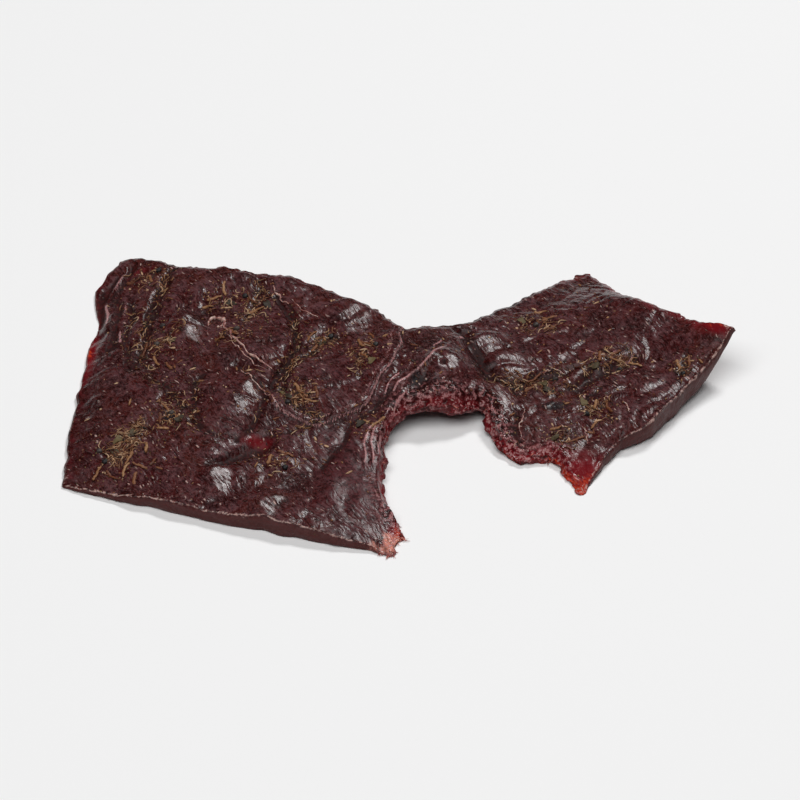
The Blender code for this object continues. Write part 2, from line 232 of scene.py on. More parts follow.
# Furrows, and ridges where the depth is below 0: width, depth, herb dust along them, route.
FURROWS = (
    (0.5, 0.40, 0.8, ((-25.6, 73.7), (-25.9, 69.3), (-27.4, 65.0), (-28.5, 61.3))),
    (0.6, 0.40, 0.9, (
        (-40.9, 78.6), (-43.2, 73.6), (-45.4, 66.1), (-46.5, 60.0), (-46.8, 55.6),
    )),
    (0.5, 0.35, 0.6, ((-20.2, 65.9), (-18.4, 60.2), (-17.9, 53.8), (-20.0, 48.4), (-21.5, 44.0))),
    (0.6, 0.40, 1.0, (
        (-10.3, 57.0), (-13.4, 54.9), (-16.1, 50.6), (-19.0, 48.1), (-20.2, 43.4), (-20.6, 39.9),
    )),
    (0.6, 0.35, 0.9, ((-20.6, 39.9), (-18.4, 35.9), (-14.3, 33.4))),
    (0.9, 0.60, 0.2, (
        (-28.7, 47.1), (-25.1, 42.0), (-23.8, 37.4), (-24.2, 34.4), (-26.0, 30.8), (-29.2, 28.0),
    )),
    (0.7, 0.35, 0.4, ((-34.6, 46.0), (-36.4, 42.1), (-36.9, 36.5), (-35.5, 31.3), (-31.9, 28.2))),
    (0.6, 0.30, 0.7, ((-46.3, 54.0), (-44.5, 45.5), (-40.9, 42.2), (-38.2, 36.9))),
    (0.5, 0.30, 0.6, ((-24.2, 28.7), (-20.2, 30.0), (-16.1, 31.6), (-13.0, 33.0))),
    (0.8, 0.50, 0.0, ((-13.4, 21.3), (-10.3, 26.9), (-7.1, 33.4), (-3.5, 37.6), (-0.3, 39.8))),
    (0.3, -0.20, 0.0, ((-2.5, 12.0), (-4.1, 19.5), (-3.6, 28.3), (-0.6, 36.4), (2.0, 38.6))),
    (0.3, -0.16, 0.0, ((-3.6, 13.5), (-5.1, 20.0), (-4.7, 28.5), (-2.0, 36.0))),
    (0.3, -0.12, 0.0, ((-6.2, 15.0), (-6.5, 21.7), (-6.0, 27.6), (-3.6, 33.4))),
    (0.7, 0.40, 0.8, ((15.8, 46.7), (18.9, 45.1), (21.5, 45.5), (24.2, 48.1), (27.7, 49.5), (29.7, 48.4))),
    (0.9, 0.55, 0.2, ((30.3, 44.6), (33.4, 48.0), (34.3, 51.1))),
    (0.6, 0.40, 0.2, ((21.1, 38.1), (20.2, 34.7), (21.5, 29.3))),
    (0.4, -0.20, 0.8, ((36.5, 50.3), (38.2, 54.9), (40.9, 54.8), (41.3, 53.5), (39.1, 51.7), (36.5, 50.3))),
    (0.5, 0.25, 0.6, ((35.6, 43.7), (33.8, 41.5), (34.3, 38.7), (36.5, 39.7))),
    (0.6, 0.40, 0.9, ((51.4, 52.4), (50.6, 48.8), (49.7, 46.1))),
    (0.8, 0.90, 0.0, ((-54.4, 67.1), (-53.4, 71.2), (-53.6, 76.2), (-51.6, 79.8))),
    (0.8, 0.80, 0.1, ((-51.7, 57.5), (-51.7, 64.3), (-50.4, 69.5), (-51.2, 75.3), (-48.6, 81.0))),
    (0.7, 0.70, 0.3, ((-49.5, 52.4), (-49.9, 60.4), (-48.1, 65.7), (-48.6, 71.8))),
    (0.35, -0.24, 0.0, ((-53.4, 63.0), (-52.4, 69.0), (-52.6, 75.0), (-50.4, 80.0))),
    (0.35, -0.20, 0.0, ((-50.8, 58.0), (-50.6, 64.0), (-49.4, 70.0), (-50.0, 76.0))),
    (0.4, -0.34, 0.0, ((-0.5, 39.1), (2.2, 43.0), (5.7, 47.0), (9.7, 52.9), (12.0, 56.0))),
    (0.35, -0.26, 0.0, ((-3.2, 37.0), (-1.5, 41.4), (1.6, 46.8), (6.3, 51.4), (10.0, 56.0))),
)
# A furrow's narrow and wide share of the depth, how much wider the wide one is, and its dust's reach.
FURROW_SHARES = (0.65, 0.35)
FURROW_FLARE = 3.5
DUST_REACH = 1.3
RIDGE_SHARE = 0.55
RIDGE_BREAKS = ((2.4, 1.0, 92),)
PINHOLE = (7.9, 45.6, 0.42, 0.52)
PINHOLE_DEPTH = 0.7

# Places where the meat is redder, along its edge and at its tips: centre, reach, strength. The red is partly
# the meat's own and partly painted light coming through where it is thin.
RED_EDGES = (
    (0.4, 5.0, 5.0, 5.0, 1.0),
    (-3.2, 17.0, 8.0, 8.0, 0.85),
    (0.0, 33.0, 5.0, 5.0, 0.6),
    (9.0, 38.0, 8.0, 8.0, 0.6),
    (17.0, 34.0, 5.0, 5.0, 0.6),
    (20.6, 27.6, 4.0, 4.0, 0.45),
    (26.6, 26.0, 4.5, 4.5, 0.35),
    (32.0, 18.5, 5.0, 5.0, 1.0),
    (59.4, 55.0, 5.5, 5.5, 0.75),
    (48.0, 64.0, 9.0, 9.0, 0.5),
    (36.0, 78.0, 9.0, 9.0, 0.6),
    (-58.0, 56.0, 6.0, 6.0, 0.5),
    (-22.0, 84.0, 30.0, 30.0, 0.25),
)
RED_DEPTH = 1.7
RED_TIPS = (
    (0.6, 6.6, 2.6, 2.2, 0.9),
    (31.9, 19.6, 7.0, 8.0, 1.15),
    (58.4, 57.0, 6.0, 3.6, 0.45),
    (-25.0, 28.4, 3.2, 1.6, 0.8),
    (19.4, 29.6, 2.6, 3.0, 0.4),
    (26.0, 27.6, 4.0, 2.2, 0.35),
    (-55.6, 60.0, 1.3, 5.0, 0.5),
    (-46.5, 79.4, 3.4, 1.4, 0.5),
)

# How a torn edge rounds off: shares of the thickness, and over what reach, at the front and all round.
FRONT_ROUND, FRONT_REACH = 0.34, 1.3
EDGE_ROUND, EDGE_REACH = 0.12, 0.8

# Pale, charred and hollow places: centre, reach, strength. The hollows get painted shade, and the charred
# place by the pinhole is painted shade in its pit. Then the pale lines, and the smooth band.
PALE_HORN = ((-2.2, 3.6, 3.0, 2.8, 1.2),)
# The last charred place, by the pinhole, is painted shade in its pit; the other two are dark spots of the
# meat.
CHARRED_AND_PIT_SHADE = ((-41.0, 35.0, 1.8, 2.2, 1.0), (27.7, 39.6, 3.2, 1.8, 1.0), (3.0, 42.4, 2.0, 2.6, 0.8))
SHADED_HOLLOWS = ((3.5, 41.8, 2.6, 2.6, 0.7), (*PINHOLE, 1.1))
SKIN_LINES = 1.5
LINE_REACH = 0.6
SMOOTH_BAND = (-7.0, 18.0, 7.5, 16.0, 14.0)

# Where the meat crumbles: along the torn front edge and over the neck, but less where it is firm.
CRUMBLY_REACH = 2.4
CRUMBLY_NECK = ((9.0, 38.5, 8.0, 3.5, 0.8),)
FIRM = ((-3.0, 22.0, 5.0, 12.0, 0.8), (32.0, 20.0, 4.0, 6.0, 0.8))
CRUMBLY_LUMPS = ((1.4, 0.42, 25), (0.75, 0.24, 26))

# Herbs and pepper: patch centre, reach, number of pieces.
HERB_PATCHES = (
    (-49.0, 25.5, 5.6, 6.6, 14),
    (-41.0, 35.0, 3.0, 3.4, 5),
    (-43.0, 54.0, 3.6, 8.0, 6),
    (-31.9, 68.4, 4.4, 3.2, 5),
    (-25.2, 65.5, 2.0, 3.6, 3),
    (-30.0, 56.4, 2.6, 2.2, 3),
    (-14.8, 55.0, 3.4, 3.0, 4),
    (-18.0, 38.4, 3.8, 3.0, 7),
    (-5.6, 51.5, 2.2, 5.0, 6),
    (-21.4, 23.0, 4.4, 2.2, 3),
    (-6.0, 33.0, 2.4, 2.4, 2),
    (-45.0, 77.0, 3.2, 2.0, 3),
    (24.6, 46.0, 4.6, 2.6, 6),
    (38.0, 51.2, 4.4, 2.6, 6),
    (34.8, 38.4, 3.4, 3.6, 5),
    (50.6, 48.6, 2.4, 2.2, 3),
    (29.0, 31.5, 3.4, 2.6, 3),
    (25.0, 63.6, 4.4, 4.0, 5),
)
GOLDEN_ANGLE = math.radians(137.508)

# Each kind of herb piece: half length, half width, half height.
HERB_KINDS = (
    (1.60, 0.32, 0.30, "stalk"),
    (0.90, 0.56, 0.30, "leaf"),
    (1.90, 0.26, 0.26, "stalk"),
    (1.20, 0.34, 0.30, "stalk"),
    (0.58, 0.52, 0.42, "pepper"),
)
HERB_BEDDED = 0.3

# Crumbs and threads keep this far from the outline.
EDGE_MARGIN = 1.2

# Herb dust as colour: everywhere, round a patch and along a furrow, and on the underside.
STRAY_DUST, PATCH_DUST, FURROW_DUST, UNDER_DUST = 0.02, 0.30, 0.45, 0.03
DUST_SPREAD = 1.2

# Crumbs: how many, their half lengths, and the share of them that are splinters.
CRUMB_SEED = 4
CRUMBS_EACH_PATCH = 50
CRUMBS_STRAY = 420
CRUMB_SIZES = (0.08, 0.30)
SPLINTER_SHARE, SPLINTER_STRETCH = 0.3, 2.4

# Herb threads: how many to a millimetre of the dustiest furrow, and to a patch for its pieces squared.
THREAD_SEED = 6
THREADS_EACH_MM = 2.6
THREADS_EACH_PIECE = 1.8
TUFTS_EACH_PATCH = 5
THREAD_RADII = (0.035, 0.12)
THREAD_STEPS = 9
STALK_STEPS = 13

# Smooth spots that shine: centre, reach, turn in degrees, strength.
SHINES = (
    (-36.8, 59.5, 3.0, 6.4, 34.0, 0.75),
    (-26.3, 41.0, 1.9, 3.6, -4.0, 0.80),
    (-32.3, 18.6, 2.8, 3.2, 0.0, 0.80),
    (-22.2, 11.3, 4.0, 3.2, -10.0, 0.60),
    (-8.0, 61.0, 4.0, 5.6, 25.0, 0.45),
    (-10.3, 15.0, 3.2, 5.0, 20.0, 0.08),
    (15.4, 55.5, 3.2, 4.2, -40.0, 0.60),
    (8.8, 45.2, 2.9, 3.4, 0.0, 0.85),
    (50.6, 49.7, 1.6, 2.8, -20.0, 0.50),
    (18.9, 40.4, 1.3, 2.0, 0.0, 0.60),
    (29.0, 48.8, 2.6, 1.3, 20.0, 0.55),
    (45.6, 44.0, 3.6, 1.9, 40.0, 0.45),
    (-51.0, 66.0, 1.2, 3.4, -10.0, 0.50),
)
SHINE_BEND = ((3.4, 0.9, 75), (1.4, 0.5, 76))

# Lights, view and floor, in metres. A surface of the mirror slope throws the key light at the camera.
KEY_PLACE = (0.358, 0.674, 0.977)
MIRROR_SLOPE = (-0.208, 0.184)
KEY_SIZE = (0.28, 0.19)
FILL_PLACE, FILL_SIZE = (-0.15, -0.50, 1.24), (1.4, 1.0)
AIM = (0.0, 0.0, 0.003)
FLOOR_HALF = 3.0

# A point is in a valley where the relief is lower than on a ring of so many points round it. The meat is
# painted darker there as shade.
VALLEY_REACH = 4.5
VALLEY_POINTS = 8

# Loose sinews that lie on the top side: radius and route.
SINEWS = (
    (0.34, ((-34.6, 61.0), (-33.7, 63.2), (-31.9, 62.4), (-31.6, 60.4), (-32.8, 59.6))),
    (0.26, ((-31.9, 61.1), (-30.1, 55.3), (-27.4, 50.6), (-25.1, 47.2), (-22.7, 45.1))),
    (0.13, ((-31.0, 56.0), (-28.4, 51.0), (-25.6, 46.6), (-24.0, 45.0))),
    (0.16, ((-28.6, 46.0), (-25.2, 41.2), (-22.8, 37.5), (-21.4, 35.0))),
    (0.22, ((-22.9, 70.7), (-21.6, 68.0), (-20.2, 65.9))),
    (0.12, ((-19.6, 67.2), (-17.2, 64.0), (-14.6, 62.0))),
    (0.13, ((40.0, 40.1), (40.9, 37.1))),
    (0.13, ((32.5, 34.4), (33.2, 32.4), (33.4, 30.0))),
    (0.16, ((33.0, 54.2), (35.2, 52.6), (36.9, 51.8))),
    (0.10, ((24.2, 48.1), (27.7, 49.5), (29.7, 48.4))),
    (0.10, ((22.4, 38.6), (21.4, 35.0), (22.0, 31.0))),
)
SINEW_STEPS = 64
SINEW_COLOURS = ((0.27, 0.105, 0.095), (0.62, 0.42, 0.36))

# Frayed ends: how many on the horn and on the rest of the torn edge.
STRAND_SEED = 9
HORN_STRANDS, EDGE_STRANDS = 16, 16
STRAND_STEPS = 10
STRAND_RADII = (0.09, 0.2)
STRAND_LOWEST = 0.25
FRAYED_COLOURS = ((0.16, 0.014, 0.016), (0.50, 0.15, 0.11))

# Attributes of the slice that steer its material.
MEAT_MARKS = (
    "thin", "crease", "sinew", "dust", "smooth_band", "wall",
    "pale", "edge_line", "char", "ragged", "shine", "valley",
)


# Noise and curves

def lattice_draw(i, j, salt=0.0, waves=LATTICE_WAVES[0]):
    """A draw from -1 to 1 for each lattice point: twice the fraction of a very tall sine, less 1."""
    wave = np.sin(i * waves[0] + j * waves[1] + salt * SALT_STEP) * LATTICE_SPREAD
    return 2 * (wave - np.floor(wave)) - 1


def value_noise(x, y, size, salt):
    """Smooth noise from -1 to 1: draws on a square lattice, eased between."""
    u, v = x / size, y / size
    i, j = np.floor(u), np.floor(v)
    fu, fv = u - i, v - j
    fu, fv = fu * fu * (3 - 2 * fu), fv * fv * (3 - 2 * fv)
    near = lattice_draw(i, j, salt) * (1 - fu) + lattice_draw(i + 1, j, salt) * fu
    far = lattice_draw(i, j + 1, salt) * (1 - fu) + lattice_draw(i + 1, j + 1, salt) * fu
    return near * (1 - fv) + far * fv


def layered_noise(x, y, layers):
    """Sum of smooth noises, each given as its size, height and salt."""
    return sum(height * value_noise(x, y, size, salt) for size, height, salt in layers)


def bell(distance, reach):
    """1 at no distance and falling off smoothly: e to the minus squared distance over reach."""
    return np.exp(-((distance / reach) ** 2))


def unit(vectors):
    """The vectors, each at length 1."""
    return vectors / np.linalg.norm(vectors, axis=-1, keepdims=True)


def cell_crease(x, y, size):
    """1 on the borders between rounded cells, 0 inside: from the two nearest of jittered lattice points."""
    u, v = x / size, y / size
    i, j = np.floor(u), np.floor(v)
    first = second = np.full_like(u, np.inf)
    for a in (-1, 0, 1):
        for b in (-1, 0, 1):
            ca, cb = i + a, j + b
            pu = ca + 0.5 + 0.4 * lattice_draw(ca, cb, waves=LATTICE_WAVES[0])
            pv = cb + 0.5 + 0.4 * lattice_draw(ca, cb, waves=LATTICE_WAVES[1])
            far = np.hypot(u - pu, v - pv)
            second = np.minimum(second, np.maximum(first, far))
            first = np.minimum(first, far)
    return bell((second - first) * size, LOBE_CREASE)


def smooth_curve(points, knots, at):
    """Cubic through the points, with slopes taken from each point's neighbours."""
    slope = CURVE_TENSION * np.gradient(points, knots, axis=0)
    i = np.clip(np.searchsorted(knots, at, side="right") - 1, 0, len(knots) - 2)
    step = (knots[i + 1] - knots[i])[:, None]
    u = (at - knots[i])[:, None] / step
    ends = points[i] * (2 * u**3 - 3 * u**2 + 1) + points[i + 1] * (3 * u**2 - 2 * u**3)
    bends = slope[i] * (u**3 - 2 * u**2 + u) + slope[i + 1] * (u**3 - u**2)
    return ends + bends * step


def knots_by_length(*curves):
    """Knots from 0 to 1 for the points of curves that run side by side, spaced by their joint length."""
    step = sum(np.linalg.norm(np.diff(curve, axis=0), axis=1) for curve in curves)
    knots = np.concatenate([[0.0], np.cumsum(step)])
    return knots / knots[-1]


STATION_KNOTS = knots_by_length(FRONT_EDGE, BACK_EDGE)


# Form of the slice, in millimetres on the plan

def plan(s, t):
    """Plan point at s, from left side to right, and t, from front edge to back.

    It is the straight line from front to back edge, whose ends are pulled onto the two
    sides and which bows to the left behind the horn, moved a little by noise.
    """
    s_, t_ = s[:, None], t[:, None]
    front, back = (smooth_curve(edge, STATION_KNOTS, s) for edge in (FRONT_EDGE, BACK_EDGE))
    xy = (1 - t_) * front + t_ * back
    for side, end, hold in ((LEFT_SIDE, 0, (1 - s_) ** SIDE_HOLD), (RIGHT_SIDE, -1, s_**SIDE_HOLD)):
        straight = (1 - t_) * FRONT_EDGE[end] + t_ * BACK_EDGE[end]
        xy = xy + hold * (smooth_curve(side, knots_by_length(side), t) - straight)
    xy[:, 0] += HORN_BOW * 4 * t * (1 - t) * bell(s - STATION_KNOTS[HORN_STATION], HORN_SPAN)
    x, y = xy.T
    tear = np.stack([layered_noise(x, y, TEARS), layered_noise(y + TEAR_SHIFT, x, TEARS)], axis=1)
    return (xy + tear).T


def outline(steps):
    """Plan points all round: along the front edge, the right side, the back edge and the left side."""
    along = np.linspace(0, 1, steps)
    flat, full = np.zeros_like(along), np.ones_like(along)
    sides = ((along, flat), (full, along), (along[::-1], full), (flat, along[::-1]))
    return np.concatenate([plan(s, t) for s, t in sides], axis=1)


def swell(x, y, centre_x, centre_y, reach_x, reach_y, turn=0.0):
    """A smooth hill, 1 at its centre: e to the minus squared distance over its reach."""
    a = math.radians(turn)
    dx, dy = x - centre_x, y - centre_y
    u = (dx * math.cos(a) + dy * math.sin(a)) / reach_x
    v = (dy * math.cos(a) - dx * math.sin(a)) / reach_y
    return np.exp(-(u * u + v * v))


def hills(x, y, places):
    """Sum of smooth hills, each given as a place for swell and its height."""
    return sum(height * swell(x, y, *place) for *place, height in places)


def left_margin(x, y):
    """1 on the left side, where the slice curls down to the table, and 0 a little way in."""
    return bell(np.maximum(x - np.interp(y, LEFT_SIDE[:, 1], LEFT_SIDE[:, 0]), 0.0), ROLL_REACH)


def bow(x, y):
    """Height of the smooth underside over the table, before it settles onto it."""
    return hills(x, y, BOWS) * (1 - ROLL_SHARE * left_margin(x, y))


def thickness(x, y):
    """The slice's thickness, drawn at each named place toward the thickness there."""
    thick = np.full_like(x, THICKNESS)
    for centre_x, centre_y, reach, there in THIN_AND_THICK:
        thick += (there - thick) * swell(x, y, centre_x, centre_y, reach, reach)
    return thick + (LEFT_MARGIN - thick) * left_margin(x, y) * (thick > LEFT_MARGIN)


def off_route(x, y, route):
    """Distance to a route of straight legs, and on which side: above 0 to its left."""
    nearest = np.full_like(x, np.inf)
    side = np.zeros_like(x)
    for (ax, ay), (bx, by) in zip(route[:-1], route[1:]):
        leg_x, leg_y = bx - ax, by - ay
        along = ((x - ax) * leg_x + (y - ay) * leg_y) / (leg_x**2 + leg_y**2)
        along = np.clip(along, 0.0, 1.0)
        distance = np.hypot(x - ax - along * leg_x, y - ay - along * leg_y)
        across = leg_x * (y - ay) - leg_y * (x - ax)
        side = np.where(distance < nearest, np.sign(across), side)
        nearest = np.minimum(nearest, distance)
    return nearest, side


def along_route(x, y, route, width):
    """1 on a route, falling off to each side over its width."""
    return bell(off_route(x, y, route)[0], width)


def wandered(x, y, layers=WANDER):
    """Plan points moved by noise."""
    return x + layered_noise(x, y, layers), y + layered_noise(y, x, layers)


def fold_lines(x, y, raised):
    """0 to 1, on the raised sinews or in the creases."""
    bent = wandered(x, y)
    line = np.zeros_like(x)
    for width, height, route in FOLDS:
        if (height > 0) == raised:
            line = np.maximum(line, along_route(*bent, route, width))
    return line


def skin_step(x, y):
    """How far the torn skin stands proud beside its edge, and the distance to that edge."""
    away, side = off_route(*wandered(x, y), SKIN_EDGE)
    proud = 0.5 + 0.5 * np.tanh(side * away / SKIN_SHARPNESS)
    return proud * bell(away, SKIN_REACH), away


def relief(x, y):
    """What stands on the smooth top side: domes, creases, sinews and the skin's torn edge."""
    z = hills(x, y, DOMES)
    bent = wandered(x, y)
    for width, height, route in FOLDS:
        z += height * along_route(*bent, route, width)
    z += SKIN_HEIGHT * skin_step(x, y)[0]
    return z + layered_noise(x, y, TOP_LUMPS)


def furrows(x, y):
    """Height of the furrows and small ridges, the herb dust along them, and the two as masks.

    Each is a narrow bell of the distance to its route, and a furrow has a wider and shallower one round it.
    """
    bent = wandered(x, y)
    breaks = np.clip(RIDGE_SHARE + layered_noise(x, y, RIDGE_BREAKS), 0.1, 1)
    height, dust, furrow, ridge = np.zeros((4, len(x)))
    for width, depth, gold, route in FURROWS:
        away = off_route(*bent, route)[0]
        narrow, wide = bell(away, width), bell(away, FURROW_FLARE * width)
        dust = np.maximum(dust, gold * bell(away, DUST_REACH))
        if depth > 0:
            furrow = np.maximum(furrow, narrow)
        else:
            narrow, wide = narrow * breaks, 0.0
            ridge = np.maximum(ridge, narrow)
        height -= depth * (FURROW_SHARES[0] * narrow + FURROW_SHARES[1] * wide)
    return height, dust, furrow, ridge


def fibre_ridges(x, y):
    """Noise drawn out along the muscle fibres, which bend a little."""
    bend = layered_noise(x, y, FIBRE_BEND)
    along = x * math.cos(FIBRE_TURN) + y * math.sin(FIBRE_TURN) + bend
    across = y * math.cos(FIBRE_TURN) - x * math.sin(FIBRE_TURN) + bend
    return layered_noise(along / FIBRE_STRETCH, across, FIBRE_RIDGES)


def crumbly(x, y):
    """1 where the meat crumbles, 0 elsewhere."""
    near = along_route(x, y, FRONT_EDGE[TORN_FROM:TORN_TO + 1], CRUMBLY_REACH)
    return np.maximum(near, hills(x, y, CRUMBLY_NECK)) * (1 - hills(x, y, FIRM))


def fine_relief(x, y):
    """Low lobes between furrows, fibre ridges and a pebbled surface, all lower on the smooth band."""
    bent_x = x + layered_noise(x, y, LOBE_BEND_X)
    bent_y = y + layered_noise(y, x, LOBE_BEND_Y)
    fine = fibre_ridges(x, y) + layered_noise(x, y, FINE_LUMPS)
    fine += crumbly(x, y) * layered_noise(x, y, CRUMBLY_LUMPS)
    fine -= LOBE_DEPTH * cell_crease(bent_x, bent_y, LOBE_SIZE)
    fine *= 1 - 0.7 * swell(x, y, *SMOOTH_BAND)
    return furrows(x, y)[0] + fine - PINHOLE_DEPTH * swell(x, y, *PINHOLE)


def valleys(x, y):
    """How far the relief lies below its mean on a ring round each point, in millimetres. It steers painted
    shade in the valleys.
    """
    turns = np.arange(VALLEY_POINTS) * 2 * math.pi / VALLEY_POINTS
    ring = sum(relief(x + VALLEY_REACH * math.cos(a), y + VALLEY_REACH * math.sin(a)) for a in turns)
    return np.clip(ring / VALLEY_POINTS - relief(x, y), 0, 1)


def normals(height, x, y, step):
    """Unit normals of a height function, from its slopes along X and along Y."""
    along_x = (height(x + step, y) - height(x - step, y)) / (2 * step)
    along_y = (height(x, y + step) - height(x, y - step)) / (2 * step)
    return unit(np.stack([-along_x, -along_y, np.ones_like(x)], axis=1))


def bare_top(x, y):
    """Height of the top side without relief: the thickness on top of the bowed underside."""
    return bow(x, y) + thickness(x, y)


def smooth_top(x, y):
    """Height of the top side with its relief, settled onto the table."""
    return bare_top(x, y) + relief(x, y) - SETTLE


def facets(x, y):
    """Height that turns each shining spot to the light, and how much a point lies in one.

    Each is the plane through the spot's centre that mirrors the light, less the smooth surface, faded out.
    """
    smooth = smooth_top(x, y)
    bent = wandered(x, y, SHINE_BEND)
    height, shine = np.zeros((2, len(x)))
    for *place, strength in SHINES:
        centre_x, centre_y = place[:2]
        middle = smooth_top(np.array([centre_x]), np.array([centre_y]))
        plane = middle + MIRROR_SLOPE[0] * (x - centre_x) + MIRROR_SLOPE[1] * (y - centre_y)
        share = bell(np.log(swell(*bent, *place) + 1e-9), 1.0)
        height += share * strength**0.25 * (plane - smooth)
        shine = np.maximum(shine, strength * share)
    return height, shine


def top(x, y):
    """Height of the finished top side."""
    turned, shine = facets(x, y)
    return smooth_top(x, y) + turned + fine_relief(x, y) * (1 - 0.6 * shine)


def outline_middle():
    """Middle of the outline's box on the plan, which is over the origin."""
    points = outline(801)
    return (points.min(axis=1) + points.max(axis=1)) / 2


MIDDLE_X, MIDDLE_Y = outline_middle()


def to_metres(points):
    """From plan millimetres to the frame's metres, over the middle of the outline."""
    return (np.asarray(points, float) - (MIDDLE_X, MIDDLE_Y, 0.0)) * MM


# Meshes from arrays

def grid_index(columns, rows, start=0):
    """Numbers of a grid's points, which run along rows first."""
    return start + np.arange((columns + 1) * (rows + 1)).reshape(columns + 1, rows + 1)


def grid_faces(index):
    """Quads of a grid, seen from the side of its normals."""
    corners = (index[:-1, :-1], index[1:, :-1], index[1:, 1:], index[:-1, 1:])
    return np.stack([corner.ravel() for corner in corners], axis=1)


def rim_of_grid(index):
    """The border points of a grid in order, counter-clockwise from its first corner."""
    return np.concatenate([index[:-1, 0], index[-1, :-1], index[:0:-1, -1], index[0, :0:-1]])


def ribbon_faces(upper, lower):
    """Quads between two loops of points of one length, the lower one outside or below."""
    return np.stack([upper, lower, np.roll(lower, -1), np.roll(upper, -1)], axis=1)


def pole_to_pole(rings, sides):
    """Quads and triangles of a closed form whose points are a pole, so many rings, and another pole."""
    loops = 1 + np.arange(rings * sides).reshape(rings, sides)
    first, last = loops[0], loops[-1]
    head = np.stack([np.zeros(sides, int), first, np.roll(first, -1)], axis=1)
    tail = np.stack([np.full(sides, rings * sides + 1), np.roll(last, -1), last], axis=1)
    quads = [ribbon_faces(a, b) for a, b in zip(loops[:-1], loops[1:])]
    return np.concatenate(quads), np.concatenate([head, tail])


def add_mesh(name, points, faces, material, attributes=None):
    """A smooth mesh object at the origin, its faces given as arrays of three or four corners."""
    mesh = bpy.data.meshes.new(name)
    mesh.from_pydata(points.tolist(), [], [face for part in faces for face in part.tolist()])
    mesh.materials.append(material)
    for key, values in (attributes or {}).items():
        layer = mesh.attributes.new(key, "FLOAT", "POINT")
        layer.data.foreach_set("value", np.ascontiguousarray(values, np.float32))
    mesh.shade_smooth()
    mesh.validate()
    piece = bpy.data.objects.new(name, mesh)
    bpy.context.scene.collection.objects.link(piece)
    return piece


def add_repeated(name, points, faces, tones, material):
    """One mesh of many like pieces: points of each, faces of the first, and each one's tone."""
    copies, each = points.shape[:2]
    shift = np.arange(copies)[:, None, None] * each
    joined = [(part + shift).reshape(-1, part.shape[1]) for part in faces]
    attributes = {"tone": np.repeat(tones, each)}
    return add_mesh(name, to_metres(points.reshape(-1, 3)), joined, material, attributes)


def ball(sides, rings):
    """Unit ball as points and faces: a longitude and latitude grid with two poles."""
    turn = np.arange(sides) * 2 * np.pi / sides
    tilt = np.linspace(0, np.pi, rings + 1)[1:-1]
    ring = np.stack([
        np.outer(np.sin(tilt), np.cos(turn)),
        np.outer(np.sin(tilt), np.sin(turn)),
        np.outer(np.cos(tilt), np.ones(sides)),
    ], axis=-1).reshape(-1, 3)
    return np.concatenate([[[0, 0, 1]], ring, [[0, 0, -1]]]), pole_to_pole(rings - 1, sides)


def lay_copies(local, x, y, turns, lift):
    """Lays one set of points at each place: turned about the surface's normal, then lifted along it."""
    place = np.stack([x, y, top(x, y)], axis=1)
    normal = normals(top, x, y, SEAT_STEP)
    ahead = unit(np.cross(np.cross(normal, (1.0, 0.0, 0.0)), normal))
    across = np.cross(normal, ahead)
    cos, sin = np.cos(turns)[:, None], np.sin(turns)[:, None]
    axes = np.stack([ahead * cos + across * sin, across * cos - ahead * sin, normal], axis=1)
    return place[:, None] + normal[:, None] * lift[:, None, None] + np.einsum("nki,nij->nkj", local, axes)


def tubes(lines, radii, sides, flatness=1.0, twist=0.0):
    """Strands along many routes at once, as points and faces.

    Each is rings square to its route, flattened and twisted, and a pole at each end.
    """
    along = unit(np.gradient(lines, axis=1))
    side = unit(np.cross(along, (0.0, 0.0, 1.0)))
    up = np.cross(side, along)
    turn = np.arange(sides) * 2 * np.pi / sides
    wide, high = np.cos(turn), flatness * np.sin(turn)
    cos, sin = (np.broadcast_to(trig(twist), radii.shape)[:, :, None] for trig in (np.cos, np.sin))
    in_side, in_up = wide * cos - high * sin, wide * sin + high * cos
    ring = side[:, :, None] * in_side[..., None] + up[:, :, None] * in_up[..., None]
    rings = lines[:, :, None] + ring * radii[:, :, None, None]
    count, steps = radii.shape
    points = np.concatenate([lines[:, :1], rings.reshape(count, -1, 3), lines[:, -1:]], axis=1)
    return points, pole_to_pole(steps, sides)


# Shader nodes as expressions

class Wire:
    """A shader socket that takes Python's arithmetic; each operation adds its Math node."""

    def __init__(self, paint, socket):
        self.paint = paint
        self.socket = socket

    def __add__(self, other):
        return self.paint.math("ADD", self, other)

    def __sub__(self, other):
        return self.paint.math("SUBTRACT", self, other)

    def __rsub__(self, other):
        return self.paint.math("SUBTRACT", other, self)

    def __mul__(self, other):
        return self.paint.math("MULTIPLY", self, other)

    __radd__ = __add__
    __rmul__ = __mul__


